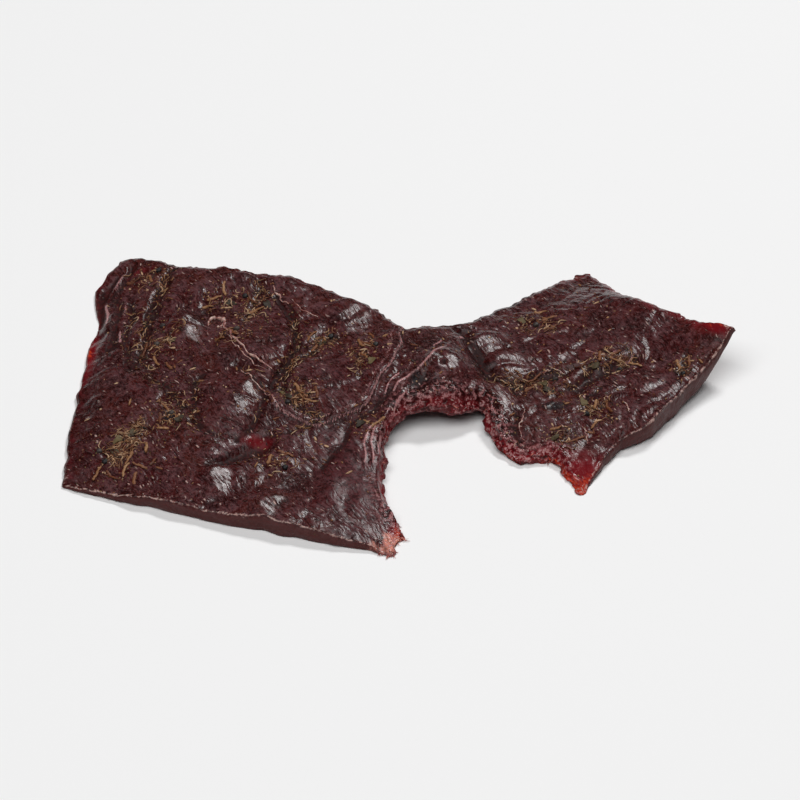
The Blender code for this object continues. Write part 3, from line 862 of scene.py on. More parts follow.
class Paint:
    """A new material, and the nodes that are added to it."""

    def __init__(self, name):
        self.material = bpy.data.materials.new(name)
        self.material.use_nodes = True
        self.tree = self.material.node_tree
        self.shader = self.tree.nodes["Principled BSDF"]

    def node(self, kind, settings=None, sockets=None, output=0):
        """Adds a node: its settings are set first, then each socket gets its value or its link."""
        made = self.tree.nodes.new(kind)
        for key, value in (settings or {}).items():
            setattr(made, key, value)
        for key, value in (sockets or {}).items():
            self.feed(made.inputs[key], value)
        return Wire(self, made.outputs[output])

    def feed(self, socket, value):
        """Links a wire to the socket, or sets its value."""
        if isinstance(value, Wire):
            self.tree.links.new(value.socket, socket)
        else:
            socket.default_value = value

    def math(self, operation, *values):
        """The result of a Math node's operation on values or wires."""
        return self.node("ShaderNodeMath", {"operation": operation}, dict(enumerate(values)))

    def vector(self, operation, *values, **sockets):
        """The result of a Vector Math node's operation."""
        sockets = {**dict(enumerate(values)), **sockets}
        return self.node("ShaderNodeVectorMath", {"operation": operation}, sockets)

    def mask(self, value, low, high):
        """0 below low, 1 above high, eased between; the other way round where low is above high."""
        sockets = {"Value": value, "From Min": low, "From Max": high}
        return self.node("ShaderNodeMapRange", {"interpolation_type": "SMOOTHSTEP"}, sockets)

    def mix(self, factor, first, second):
        """Colours mixed by a factor; sockets 6 and 7 are the Mix node's two colours."""
        colours = [c if isinstance(c, Wire) else (*c, 1.0) for c in (first, second)]
        sockets = {0: factor, 6: colours[0], 7: colours[1]}
        return self.node("ShaderNodeMix", {"data_type": "RGBA"}, sockets, 2)

    def coated(self, colour, *coats):
        """The colour under coats, each given as how much of it shows and its own colour."""
        for share, coat in coats:
            colour = self.mix(share, colour, coat)
        return colour

    def ramp(self, value, *stops):
        """The colour at a value from 0 to 1 between stops, each given as its position and its colour."""
        made = self.node("ShaderNodeValToRGB", sockets={0: value})
        elements = made.socket.node.color_ramp.elements
        while len(elements) < len(stops):
            elements.new(1.0)
        for element, (position, colour) in zip(elements, stops):
            element.position = position
            element.color = (*colour, 1.0)
        return made

    def attribute(self, name):
        """The number that the mesh holds under the name for each point."""
        return self.node("ShaderNodeAttribute", {"attribute_name": name}, output=2)

    def place_mm(self):
        """Object coordinates in millimetres."""
        return self.vector("SCALE", self.node("ShaderNodeTexCoord", output=3), Scale=1.0 / MM)

    def swayed(self, vector, size, most):
        """The vector moved by smooth noise, by at most about half of most."""
        sockets = {"Vector": vector, "Scale": 1.0 / size, "Detail": 2.0}
        sway = self.node("ShaderNodeTexNoise", sockets=sockets, output=1)
        return self.vector("MULTIPLY_ADD", sway, (most, most, most), vector)

    def along_fibres(self, vector, scale):
        """The vector turned so that X runs along the fibres, then stretched."""
        sockets = {"Vector": vector, "Rotation": (0.0, 0.0, -FIBRE_TURN)}
        return self.vector("MULTIPLY", self.node("ShaderNodeMapping", sockets=sockets), scale)

    def noise(self, vector, size, detail=2.0, roughness=0.5, distortion=0.0):
        """Noise from 0 to 1 whose features are about size across."""
        return self.node("ShaderNodeTexNoise", sockets={
            "Vector": vector, "Scale": 1.0 / size, "Detail": detail,
            "Roughness": roughness, "Distortion": distortion,
        })

    def scatter(self, vector, size):
        """Cells about size across: distance to the nearest centre, and two draws from 0 to 1 a cell."""
        chance = self.node("ShaderNodeTexVoronoi", sockets={"Vector": vector, "Scale": 1.0 / size}, output=1)
        near = Wire(self, chance.socket.node.outputs[0])
        return near, *(self.node("ShaderNodeSeparateColor", sockets={0: chance}, output=k) for k in (0, 1))

    def bump(self, height_mm):
        """Normal from a height in millimetres."""
        return self.node("ShaderNodeBump", sockets={"Distance": MM, "Height": height_mm})

    def finish(self, varying, constant):
        """Feeds the shader and gives back the material."""
        for key, value in {**constant, **varying}.items():
            self.feed(self.shader.inputs[key], value)
        return self.material


# Materials

def meat_noises(paint, mm, bent):
    """Noises over the meat, from broad patches to fine grit, then those drawn out along the fibres."""
    return SimpleNamespace(
        broad=paint.noise(mm, 9.0, 3.0, 0.55),
        cloud=paint.noise(bent, 4.2, 2.0, 0.5),
        blotch=paint.noise(bent, 2.4, 4.0, 0.6),
        lumps=paint.noise(bent, 1.2, 1.0, 0.4),
        pebble=paint.noise(mm, 0.8, 2.0, 0.5),
        mottle=paint.noise(bent, 0.75, 4.0, 0.7),
        grit=paint.noise(mm, 0.34, 3.0, 0.65),
        fibre=paint.noise(paint.along_fibres(bent, (0.30, 2.0, 2.0)), 1.0, 4.0, 0.6, 0.2),
        thread=paint.noise(paint.along_fibres(bent, (0.9, 6.0, 6.0)), 1.0, 3.0, 0.6, 0.3),
        ripple=paint.noise(paint.along_fibres(bent, (0.35, 1.8, 1.8)), 1.0, 1.0, 0.4),
    )


def lean_colour(paint, settings, noise, mark, clear):
    """The meat's colour: patches, gaps and fibres, then creases, walls, clear edges, sinews and crumbs.
    Creases, hollows, valleys and the gaps between crumbs and herb dust get painted shade.
    """
    mask = paint.mask
    grit = noise.grit - 0.5
    lively = 1 - mark.smooth_band * 0.5
    lean = paint.mix(mask(noise.broad, 0.38, 0.64), settings.lean_colour, settings.brown_colour)
    # Painted shade for creases and hollows: near black, with the clear dark red of the meat in places.
    crease_shade_colour = paint.mix(mask(noise.pebble, 0.5, 0.62) * 0.6, settings.dark_and_shade_colour, settings.crease_colour)
    # Painted shade in the gaps between herb dust and crumbs, and where the meat crumbles.
    gaps = mask(mark.dust + mark.ragged, 0.1, 0.6)
    return paint.coated(
        lean,
        # Purple patches: partly the meat's own tone, partly a painted soft sheen.
        (mask(noise.blotch, 0.44, 0.64) * 0.85, settings.purple_and_sheen_colour),
        (mask(noise.cloud, 0.52, 0.66) * 0.5, settings.purple_and_sheen_colour),
        (mark.smooth_band * 0.7, settings.band_colour),
        (mask(noise.fibre, 0.54, 0.34) * 0.8, settings.dark_and_shade_colour),
        (mask(noise.blotch, 0.44, 0.30) * 0.7, settings.dark_and_shade_colour),
        (mask(noise.cloud, 0.48, 0.34) * 0.6 * (1 - mark.smooth_band * 0.7), settings.dark_and_shade_colour),
        # Painted shade: darker in the valleys of the relief.
        (mask(mark.valley + (noise.blotch - 0.5) * 0.5, 0.06, 0.40) * 0.75, settings.dark_and_shade_colour),
        (mask(noise.mottle, 0.49, 0.36) * 0.8, settings.dark_and_shade_colour),
        (mask(noise.mottle, 0.52, 0.66) * 0.65 * lively, settings.fibre_colour),
        (mask(noise.thread, 0.51, 0.66) * 0.6 * lively, settings.fibre_colour),
        # Painted shade in the creases, the hollows, the pinhole and on the curled left side.
        (mask(mark.crease + grit * 0.8, 0.15, 0.7) * 0.85, crease_shade_colour),
        (mask(noise.pebble, 0.52, 0.40) * gaps * 0.8, settings.dark_and_shade_colour),
        (mark.wall * 0.75 * (1 - mark.ragged * 0.7), settings.wall_colour),
        # Thin edges and tips: the meat's own red with painted light coming through it.
        (clear * 0.95, settings.thin_lit_through_colour),
        (mask(mark.thin + (noise.fibre - 0.5) * 1.2, 0.95, 1.4) * 0.8, settings.tip_colour),
        (mask(mark.pale + (noise.fibre - 0.5) * 1.6, 0.3, 0.9), settings.frayed_colour),
        (mask(mark.sinew + (noise.thread - 0.5) * 1.4, 0.28, 0.8) * 0.9, settings.sinew_colour),
        (mask(mark.edge_line + (noise.mottle - 0.5) * 4.0, 0.7, 1.3) * 0.8, settings.fleck_colour),
        # Painted shade between the crumbs where the meat crumbles.
        (mask(noise.pebble + 0.3 * grit, 0.46, 0.34) * mark.ragged * 0.7, settings.dark_and_shade_colour),
        (mask(noise.pebble + 0.5 * grit, 0.50, 0.60) * mark.ragged * 0.6, settings.thin_lit_through_colour),
        (mask(noise.pebble + 0.8 * grit, 0.53, 0.65) * mark.ragged * 0.8, settings.sinew_colour),
        # Black where charred, and painted shade in the pit by the pinhole.
        (mask(mark.char + grit * 1.2, 0.45, 0.9) * 0.85, settings.black_colour),
    )


def herb_specks(paint, settings, mm, mark):
    """Fine herb dust: how much of it covers each point, and its colour."""
    near, draw, tone = paint.scatter(paint.swayed(mm, 0.5, 0.3), 0.48)
    cover = paint.mask(near, 0.42, 0.22) * paint.mask(draw - (1 - mark.dust), 0.0, 0.05)
    return cover, paint.ramp(
        tone,
        (0.0, settings.rust_colour), (0.4, settings.tan_colour),
        (0.75, settings.olive_colour), (1.0, settings.black_colour),
    )


def pale_flecks(paint, bent, mark):
    """Flecks drawn out along the fibres: how much of them covers each point, and how pale each is."""
    near, draw, tone = paint.scatter(paint.along_fibres(bent, (0.5, 1.7, 1.7)), 1.0)
    share = 0.21 + mark.dust * 0.7 + mark.ragged * 0.3 - mark.smooth_band * 0.14 - mark.shine * 0.1
    cover = paint.mask(near, 0.30, 0.14) * paint.mask(draw - (1 - share), 0.0, 0.04) * (1 - mark.wall)
    return cover, 0.25 + 0.6 * tone


def meat_material(settings):
    """Dark dried lean: fibres, herb dust in the furrows, redder where it is thin or torn, partly painted
    light coming through the thin meat.
    """
    paint = Paint("dried_lean")
    mm = paint.place_mm()
    bent = paint.swayed(mm, 5.0, 3.0)
    mark = SimpleNamespace(**{name: paint.attribute(name) for name in MEAT_MARKS})
    noise = meat_noises(paint, mm, bent)
    # Where the meat is thin and red: partly painted light coming through it.
    clear = paint.mask(mark.thin + (noise.blotch - 0.5) * 0.9, 0.15, 0.9)
    herb, herb_colour = herb_specks(paint, settings, mm, mark)
    fleck, paleness = pale_flecks(paint, bent, mark)
    colour = paint.coated(
        lean_colour(paint, settings, noise, mark, clear),
        (herb * 0.85, herb_colour),
        (fleck * paleness, settings.fleck_colour),
    )

    calm = (1 - mark.smooth_band * 0.5) * (1 - clear * 0.8)
    waves = noise.ripple * 0.11 + noise.lumps * 0.14 * (1 - mark.shine * 0.8)
    height = waves * calm * (1 - mark.shine * 0.45) + noise.pebble * 0.4 * mark.ragged
    height = height + herb * 0.10 + fleck * 0.10
    roughness = 0.26 + 0.3 * (noise.fibre - 0.5) + 0.2 * (noise.grit - 0.5) + 0.2 * mark.wall + 0.3 * herb
    roughness = roughness + 0.6 * paint.mask(mark.crease, 0.45, 0.8)
    roughness = (roughness + 0.08 * mark.smooth_band - 0.08 * mark.ragged) * (1 - mark.shine * 0.1)
    return paint.finish(
        {"Base Color": colour, "Roughness": roughness, "Normal": paint.bump(height)},
        {
            "IOR": 1.27, "Subsurface Weight": settings.clearness,
            "Subsurface Radius": (1.0, 0.16, 0.12), "Subsurface Scale": 0.8 * MM,
        },
    )


def herb_material(name, roughness, *tones):
    """Dry plant matter: each piece has its own tone, streaked and with dark specks."""
    paint = Paint(name)
    grain = paint.noise(paint.place_mm(), 0.5, 4.0, 0.7)
    colour = paint.ramp(paint.attribute("tone") + (grain - 0.5) * 0.9, *tones)
    roughness = roughness + 0.2 * (grain - 0.5)
    return paint.finish(
        {"Base Color": colour, "Roughness": roughness, "Normal": paint.bump(grain * 0.12)}, {"IOR": 1.4},
    )


def plant_tones(settings):
    """Stops of the colour ramp that stalks, threads and crumbs share, from black to straw."""
    return (
        (0.0, settings.plant_black), (0.3, settings.plant_rust),
        (0.62, settings.plant_tan), (1.0, settings.plant_pale),
    )


def strand_material(name, low, high, roughness):
    """Dried sinew: pale, slightly clear, with redder stretches."""
    paint = Paint(name)
    stretch = paint.noise(paint.place_mm(), 1.4, 3.0, 0.6)
    colour = paint.mix(paint.mask(stretch, 0.38, 0.66), low, high)
    roughness = roughness + 0.2 * (stretch - 0.5)
    return paint.finish(
        {"Base Color": colour, "Roughness": roughness, "Normal": paint.bump(stretch * 0.08)},
        {
            "IOR": 1.45, "Subsurface Weight": 0.3,
            "Subsurface Radius": (1.0, 0.4, 0.3), "Subsurface Scale": 0.6 * MM,
        },
    )


# Settings

def colour_property(name, description, default):
    """A linear colour that the panel shows as a swatch."""
    return FloatVectorProperty(
        name=name, description=description, default=default,
        size=3, min=0.0, max=1.0, subtype="COLOR",
    )


class MeatSliceSettings(bpy.types.PropertyGroup):
    """Fineness and colours of the dried slice."""

    columns: IntProperty(
        name="Columns", description="Grid steps from the left side to the right one, an even number",
        default=440, min=40,
    )
    rows: IntProperty(
        name="Rows", description="Grid steps from the front edge to the back one, an even number",
        default=160, min=20,
    )
    clearness: FloatProperty(
        name="Clearness", description="Share of the light that passes under the surface",
        default=0.15, min=0.0, max=1.0, subtype="FACTOR",
    )
    lean_colour: colour_property("Lean", "Main colour of the dried lean", (0.054, 0.0062, 0.0064))
    brown_colour: colour_property("Brown", "Browner patches of the lean", (0.064, 0.0105, 0.0068))
    # Partly a painted soft sheen on the lean.
    purple_and_sheen_colour: colour_property("Purple", "Bluish purple patches", (0.092, 0.0360, 0.0400))
    band_colour: colour_property("Band", "Smooth purple band beside the notch", (0.078, 0.0170, 0.0215))
    # Both the darkest tone of the lean and the painted shade in valleys, creases, hollows and gaps.
    dark_and_shade_colour: colour_property("Dark", "Darkest hollows and gaps", (0.012, 0.0016, 0.0015))
    fibre_colour: colour_property("Fibre", "Light ends of the fibres", (0.130, 0.058, 0.060))
    crease_colour: colour_property("Crease", "Clear dark red in the creases", (0.058, 0.0035, 0.003))
    wall_colour: colour_property("Wall", "Cut side walls", (0.085, 0.022, 0.020))
    # Partly painted light coming through the thin meat.
    thin_lit_through_colour: colour_property("Thin edge", "Where the slice is thin or torn", (0.155, 0.006, 0.010))
    tip_colour: colour_property("Tip", "Where light comes through the torn tips", (0.560, 0.048, 0.012))
    frayed_colour: colour_property("Frayed", "Pale frayed meat at the horn", (0.640, 0.250, 0.190))
    sinew_colour: colour_property("Sinew", "Sinew and fat lines", (0.470, 0.240, 0.240))
    fleck_colour: colour_property("Fleck", "Pale flecks of salt and fat", (0.520, 0.350, 0.310))
    rust_colour: colour_property("Rust specks", "Reddest specks of herb dust", (0.160, 0.050, 0.016))
    tan_colour: colour_property("Tan specks", "Light specks of herb dust", (0.300, 0.180, 0.085))
    olive_colour: colour_property("Olive specks", "Greenish specks of herb dust", (0.110, 0.085, 0.036))
    black_colour: colour_property("Black specks", "Specks of pepper", (0.012, 0.011, 0.013))


class MeatHerbSettings(bpy.types.PropertyGroup):
    """Herbs, pepper and crumbs on the top side."""

    plant_black: colour_property("Plant, black", "Darkest gaps and ends of the herbs", (0.012, 0.005, 0.003))
    plant_rust: colour_property("Plant, rust", "Red brown stalks and threads", (0.130, 0.034, 0.011))
    plant_tan: colour_property("Plant, tan", "Golden tan stalks and threads", (0.260, 0.120, 0.048))
    plant_pale: colour_property("Plant, pale", "Palest straw", (0.560, 0.370, 0.230))
    leaf_dark: colour_property("Leaf, dark", "Darkest leaf flakes", (0.024, 0.015, 0.007))
    leaf_light: colour_property("Leaf, light", "Olive leaf flakes", (0.120, 0.085, 0.034))
    pepper_dark: colour_property("Pepper, dark", "Pepper husk", (0.008, 0.007, 0.008))
    pepper_light: colour_property("Pepper, light", "Pepper core", (0.070, 0.052, 0.045))


class MeatStageSettings(bpy.types.PropertyGroup):
    """Floor, lights and camera."""

    floor_colour: colour_property("Floor", "Plain pale floor", (0.90, 0.90, 0.90))
    elevation: FloatProperty(
        name="Camera elevation", description="Angle of the view above the floor",
        default=math.radians(37.0), subtype="ANGLE",
    )
    distance: FloatProperty(
        name="Camera distance", description="From the middle of the slice to the camera",
        default=2.0, unit="LENGTH",
    )
    lens: FloatProperty(
        name="Lens", description="Focal length in millimetres", default=504.0, subtype="DISTANCE_CAMERA",
    )
    key_power: FloatProperty(
        name="Key power", description="Soft light above and behind", default=7.0, unit="POWER",
    )
    fill_power: FloatProperty(
        name="Fill power", description="Wide light above the front", default=14.7, unit="POWER",
    )
    surround: FloatProperty(
        name="Surround", description="Brightness of the white room", default=0.03, min=0.0,
    )


# Pieces

def cut_share(x, y):
    """1 along the two straight cut edges, 0 along the torn ones."""
    return np.maximum(*(along_route(x, y, route, CUT_REACH) for route in CUT_EDGES))


def clean_share(x, y):
    """1 along the cut edges and the curled left side, which hardly tear."""
    return np.maximum(cut_share(x, y), left_margin(x, y))


def sheet_grid(columns, rows):
    """Grid over the slice, torn finely near its edge.

    Holds the plan point of each grid point, and its distances to the front, back, left and right
    edges and to the nearest edge, measured along the grid lines.
    """
    s = np.repeat(np.linspace(0, 1, columns + 1), rows + 1)
    t = np.tile(np.linspace(0, 1, rows + 1), columns + 1)
    x, y = plan(s, t)

    def line_lengths(axis):
        step = np.hypot(*(np.diff(part.reshape(columns + 1, rows + 1), axis=axis) for part in (x, y)))
        return step.sum(axis=axis)

    to_back = np.repeat(line_lengths(1), rows + 1)
    to_right = np.tile(line_lengths(0), columns + 1)
    gaps = {
        "front": t * to_back, "back": (1 - t) * to_back,
        "left": s * to_right, "right": (1 - s) * to_right,
    }
    gaps["edge"] = np.minimum.reduce(list(gaps.values()))
    torn = bell(gaps["edge"], FINE_TEAR_REACH) * (1 - 0.8 * clean_share(x, y))
    x = x + torn * layered_noise(x, y, FINE_TEARS)
    y = y + torn * layered_noise(y + TEAR_SHIFT, x, FINE_TEARS)
    return {"x": x, "y": y, **gaps}


def edge_drop(grid):
    """How far the top side drops as it rounds off toward a torn edge."""
    x, y = grid["x"], grid["y"]
    front = FRONT_ROUND * bell(grid["front"], FRONT_REACH)
    all_round = EDGE_ROUND * bell(grid["edge"], EDGE_REACH)
    return (front + all_round) * (1 - cut_share(x, y)) * thickness(x, y)


def underside(x, y):
    """The smooth top side moved back by the thickness along its normal, uneven, and settled on the table."""
    base = np.stack([x, y, bare_top(x, y)], axis=1)
    points = base - normals(bare_top, x, y, NORMAL_STEP) * thickness(x, y)[:, None]
    z = points[:, 2]
    z += layered_noise(x, y, UNDER_LUMPS) * np.clip(z, 0, 1) - SETTLE
    z += layered_noise(x, y, UNDER_FINE) * np.clip(z, 0, 1)
    points[:, 2] = np.maximum(z, 0.0)
    return points


def rim_loops(upper, lower):
    """Loops down the side wall: the straight way down, pushed out by a squarish arc and by torn noise."""
    ahead = np.roll(upper, -1, axis=0) - np.roll(upper, 1, axis=0)
    out = unit(np.stack([ahead[:, 1], -ahead[:, 0]], axis=1))
    torn = 1 - 0.85 * clean_share(upper[:, 0], upper[:, 1])
    along = np.cumsum(np.linalg.norm(ahead, axis=1)) / 2
    loops = []
    for v in RIM_STEPS:
        loop = upper * (1 - v) + lower * v
        down = np.full_like(along, v * RIM_HEIGHT)
        arc = RIM_ROUND * (1 - abs(2 * v - 1) ** 3)
        ragged = torn * layered_noise(along, down, RIM_TEARS)
        ledge = layered_noise(along * RIM_LEDGE_SHAPE[0], down * RIM_LEDGE_SHAPE[1], RIM_LEDGES)
        loop[:, :2] += out * (arc + ragged + ledge)[:, None]
        loops.append(loop)
    return loops


def redness(grid, wall):
    """How red the meat shows: where it is thin at a torn edge, at its tips and on the left side. Partly the
    meat's own red, partly painted light coming through the thin meat.
    """
    x, y = grid["x"], grid["y"]
    torn = 1 - cut_share(x, y)
    at_edge = bell(grid["edge"], RED_DEPTH) * (0.25 + 0.75 * torn)
    red = at_edge * hills(x, y, RED_EDGES) + hills(x, y, RED_TIPS)
    red += 0.22 * left_margin(x, y) + 0.10 * at_edge
    return np.clip(red * (1 - 0.85 * wall * (1 - torn)), 0, 1.2)


def herb_dust(x, y, gold):
    """Share of the surface that herb dust covers: round the patches, and along furrows by their gold."""
    patches = [(px, py, rx * DUST_SPREAD, ry * DUST_SPREAD, PATCH_DUST) for px, py, rx, ry, _ in HERB_PATCHES]
    dust = STRAY_DUST + hills(x, y, patches) + FURROW_DUST * gold
    return np.clip(dust * (1 - 0.8 * swell(x, y, *SMOOTH_BAND)), 0, 0.8)


def slice_attributes(grid, wall, top_side):
    """Masks that steer the colours, one number for each point; those of the top side are 0 elsewhere."""
    x, y, edge = grid["x"], grid["y"], grid["edge"]
    proud, to_skin = skin_step(x, y)
    _, gold, furrow, ridge = furrows(x, y)
    folds = np.maximum.reduce([0.7 * fold_lines(x, y, False), 0.8 * furrow, 0.8 * bell(to_skin, 0.5)])
    skin_lines = (0.5 + 0.5 * np.cos(2 * np.pi * to_skin / SKIN_LINES)) * bell(to_skin, 2.4) * (proud > 0.3)
    edge_line = bell(edge, LINE_REACH) * (1 - 0.65 * (1 - cut_share(x, y)))
    masks = {
        # Painted shade: darker in the creases, the shaded hollows and the pinhole, and on the curled left
        # side, which rolls away from the light.
        "crease": folds + hills(x, y, SHADED_HOLLOWS) + 0.45 * bell(grid["left"], 5.0),
        "sinew": np.clip(0.25 * fold_lines(x, y, True) + 0.8 * ridge**2 + 0.6 * skin_lines, 0, 1.2),
        "edge_line": edge_line + 0.2 * bell(grid["back"], LINE_REACH),
        "char": hills(x, y, CHARRED_AND_PIT_SHADE),
        # Painted shade in the valleys of the relief.
        "valley": valleys(x, y),
    }
    return {
        **{name: np.where(top_side, values, 0.0) for name, values in masks.items()},
        "dust": np.where(top_side, herb_dust(x, y, gold), UNDER_DUST),
        "thin": redness(grid, wall),
        "smooth_band": swell(x, y, *SMOOTH_BAND),
        "wall": wall,
        "ragged": crumbly(x, y),
        "shine": facets(x, y)[1] * (1 - wall),
        "pale": hills(x, y, PALE_HORN) * bell(edge, 3.0),
    }


def build_slice(settings):
    """The closed slice: a fine grid above, one half as fine below, and loops down the wall between."""
    columns, rows = settings.columns, settings.rows
    grid = sheet_grid(columns, rows)
    x, y = grid["x"], grid["y"]
    upper = np.stack([x, y, top(x, y) - edge_drop(grid)], axis=1)
    half = {name: values.reshape(columns + 1, rows + 1)[::2, ::2].ravel() for name, values in grid.items()}
    above = grid_index(columns, rows)
    rim = rim_of_grid(above)
    loops = rim_loops(upper[rim], underside(x[rim], y[rim]))
    lower_start = len(upper) + len(rim) * len(loops)
    points = np.concatenate([upper, *loops, underside(half["x"], half["y"])])
    points[:, 2] = np.maximum(points[:, 2], 0.0)

    below = grid_index(columns // 2, rows // 2, lower_start)
    index = [rim, *np.arange(len(upper), lower_start).reshape(len(loops), len(rim))]
    quads = [grid_faces(above), *(ribbon_faces(a, b) for a, b in zip(index[:-1], index[1:]))]
    even, odd, after = index[-1][0::2], index[-1][1::2], np.roll(index[-1], -2)[0::2]
    foot = rim_of_grid(below)
    foot_after = np.roll(foot, -1)
    triangles = [
        np.stack([even, foot, odd], axis=1),
        np.stack([odd, foot_after, after], axis=1),
        np.stack([odd, foot, foot_after], axis=1),
    ]
    faces = [*quads, grid_faces(below)[:, ::-1], *triangles]

    everywhere = {
        name: np.concatenate([grid[name], np.tile(grid[name][rim], len(loops)), half[name]]) for name in grid
    }
    everywhere["x"], everywhere["y"] = points[:, 0], points[:, 1]
    wall = np.zeros(len(points))
    wall[len(upper):lower_start] = np.repeat(np.clip(np.array(RIM_STEPS) * 5.0, 0, 1), len(rim))
    top_side = np.arange(len(points)) < len(upper) + len(rim)
    attributes = slice_attributes(everywhere, wall, top_side)
    return add_mesh("cured_meat_slice", to_metres(points), faces, meat_material(settings), attributes)


def herb_places():
    """Places in each patch along a sunflower spiral, which spreads them evenly."""
    for patch, (centre_x, centre_y, reach_x, reach_y, count) in enumerate(HERB_PATCHES):
        for k in range(count):
            out = math.sqrt((k + 0.5) / count)
            angle = k * GOLDEN_ANGLE + patch
            yield centre_x + reach_x * out * math.cos(angle), centre_y + reach_y * out * math.sin(angle)


def herbs_of_kind(kind):
    """Places, turns, half sizes and numbers of the herb pieces of one kind, as arrays."""
    rows = []
    for number, (x, y) in enumerate(herb_places()):
        *half_sizes, its_kind = HERB_KINDS[number % len(HERB_KINDS)]
        if its_kind == kind:
            turn = math.pi * float(value_noise(number * 1.7, 0.5, 1.0, 51))
            rows.append((x, y, turn, *half_sizes, number))
    return np.array(rows).T


def phase(number, salt):
    """An even draw from 0 to 1 for each number."""
    return 0.5 + 0.5 * value_noise(number * 1.37, np.full_like(number, salt), 1.0, salt)


def build_stalks(settings):
    """Short split stalks, at the places of the solid's: flattened strands that taper, bend and twist."""
    x, y, turns, half_length, half_width, half_height, number = herbs_of_kind("stalk")
    at = np.linspace(-1, 1, STALK_STEPS)[None]
    bent, waved, tapered = (phase(number, salt)[:, None] for salt in (5, 15, 25))
    length = at * half_length[:, None]
    across = 0.30 * (bent - 0.5) * length**2 + 0.05 * np.sin(4 * length + 9 * waved)
    raised = 0.10 * length**2 * (bent > 0.6) + 0.06 * np.sin(3 * length)
    local = np.stack([length, across, HERB_BEDDED * half_height[:, None] + raised], axis=-1)
    lines = lay_copies(local, x, y, turns, 0 * turns)
    girth = half_width[:, None] * (1 - 0.45 * tapered * (at + 1) / 2)
    girth = girth * (1 + 0.18 * np.sin(7 * length + 20 * waved)) * np.clip(6 * (1.02 - abs(at)), 0.15, 1)
    points, faces = tubes(lines, girth, 8, 0.55, 3.0 * (waved - 0.5) * at)
    material = herb_material("herb_stalk", 0.5, *plant_tones(settings))
    return add_repeated("herb_stalks", points, faces, 0.15 + 0.6 * phase(number, 6), material)


def build_leaves(settings):
    """Curled leaf flakes: a flattened ball with an uneven outline, waved and turned up at its sides."""
    x, y, turns, half_length, half_width, half_height, number = herbs_of_kind("leaf")
    ball_points, faces = ball(14, 8)
    around = np.arctan2(ball_points[:, 1], ball_points[:, 0])[None]
    own = phase(number, 7)[:, None]
    lobed = 1.15 * (1 + 0.22 * np.cos(3 * around + own * 11) + 0.12 * np.cos(5 * around + own * 23))
    length = ball_points[:, 0] * half_length[:, None] * lobed
    width = ball_points[:, 1] * half_width[:, None] * lobed
    curl = 0.34 * (width / half_width[:, None]) ** 2 + 0.22 * np.sin(3 * length + own * 17)
    above = ball_points[:, 2] * 0.11 + curl * half_height[:, None] * 1.5
    points = lay_copies(np.stack([length, width, above], axis=-1), x, y, turns, 0.05 + 0.1 * phase(number, 8))
    material = herb_material("herb_leaf", 0.6, (0.2, settings.leaf_dark), (0.8, settings.leaf_light))
    return add_repeated("herb_leaves", points, faces, phase(number, 9), material)


def build_pepper(settings):
    """Cracked pepper: balls with lumps and one flat broken side."""
    x, y, turns, half_length, half_width, half_height, number = herbs_of_kind("pepper")
    ball_points, faces = ball(12, 9)
    bx, by, bz = ball_points.T
    own = phase(number, 10)[:, None]
    lump = 1 + 0.14 * np.sin(5 * bx + own * 13) * np.cos(6 * by + own * 7) + 0.08 * np.sin(9 * bz + own * 5)
    length = np.minimum(bx * lump, 0.55) * half_length[:, None] * 1.1
    local = np.stack([length, by * lump * half_width[:, None], bz * lump * half_height[:, None]], axis=-1)
    points = lay_copies(local, x, y, turns, HERB_BEDDED * half_height)
    material = herb_material("cracked_pepper", 0.5, (0.2, settings.pepper_dark), (0.9, settings.pepper_light))
    return add_repeated("pepper_bits", points, faces, phase(number, 11) ** 2, material)


def on_slice(x, y):
    """Whether a plan point is over the slice and not near its edge: by counting outline crossings."""
    start = outline(241).T
    end = np.roll(start, -1, axis=0)
    px, py = x[:, None], y[:, None]
    rise = end[:, 1] - start[:, 1]
    rise = np.where(rise == 0, 1e-9, rise)
    spans = (start[:, 1] > py) != (end[:, 1] > py)
    cross_x = start[:, 0] + (py - start[:, 1]) * (end[:, 0] - start[:, 0]) / rise
    inside = (spans & (px < cross_x)).sum(axis=1) % 2 == 1
    nearest = np.hypot(px - start[:, 0], py - start[:, 1]).min(axis=1)
    return inside & (nearest > EDGE_MARGIN)


def crumb_places(rng):
    """Fine crumbs: most thrown round the herb patches, and some anywhere on the slice."""
    near_patches = [
        rng.normal((px, py), (rx * 0.8, ry * 0.8), (CRUMBS_EACH_PATCH, 2)).T
        for px, py, rx, ry, _ in HERB_PATCHES
    ]
    stray = plan(rng.uniform(0.02, 0.98, CRUMBS_STRAY), rng.uniform(0.03, 0.97, CRUMBS_STRAY))
    x, y = np.concatenate([*near_patches, stray], axis=1)
    inside = on_slice(x, y)
    return x[inside], y[inside]


def build_crumbs(settings):
    """Herb and pepper dust as tiny uneven balls of a few faces."""
    rng = np.random.default_rng(CRUMB_SEED)
    x, y = crumb_places(rng)
    count = len(x)
    ball_points, faces = ball(6, 4)
    size = rng.uniform(*CRUMB_SIZES, (count, 1)) * (1, 0.7, 0.5) * rng.uniform(0.7, 1.3, (count, 3))
    size[:, 0] *= np.where(rng.random(count) < SPLINTER_SHARE, SPLINTER_STRETCH, 1.0)
    local = ball_points[None] * size[:, None] * rng.uniform(0.8, 1.2, (count, len(ball_points), 1))
    points = lay_copies(local, x, y, rng.uniform(0, 2 * np.pi, count), size[:, 2] * 0.35)
    material = herb_material("herb_crumbs", 0.6, *plant_tones(settings))
    return add_repeated("herb_crumbs", points, faces, rng.random(count) ** 1.6, material)


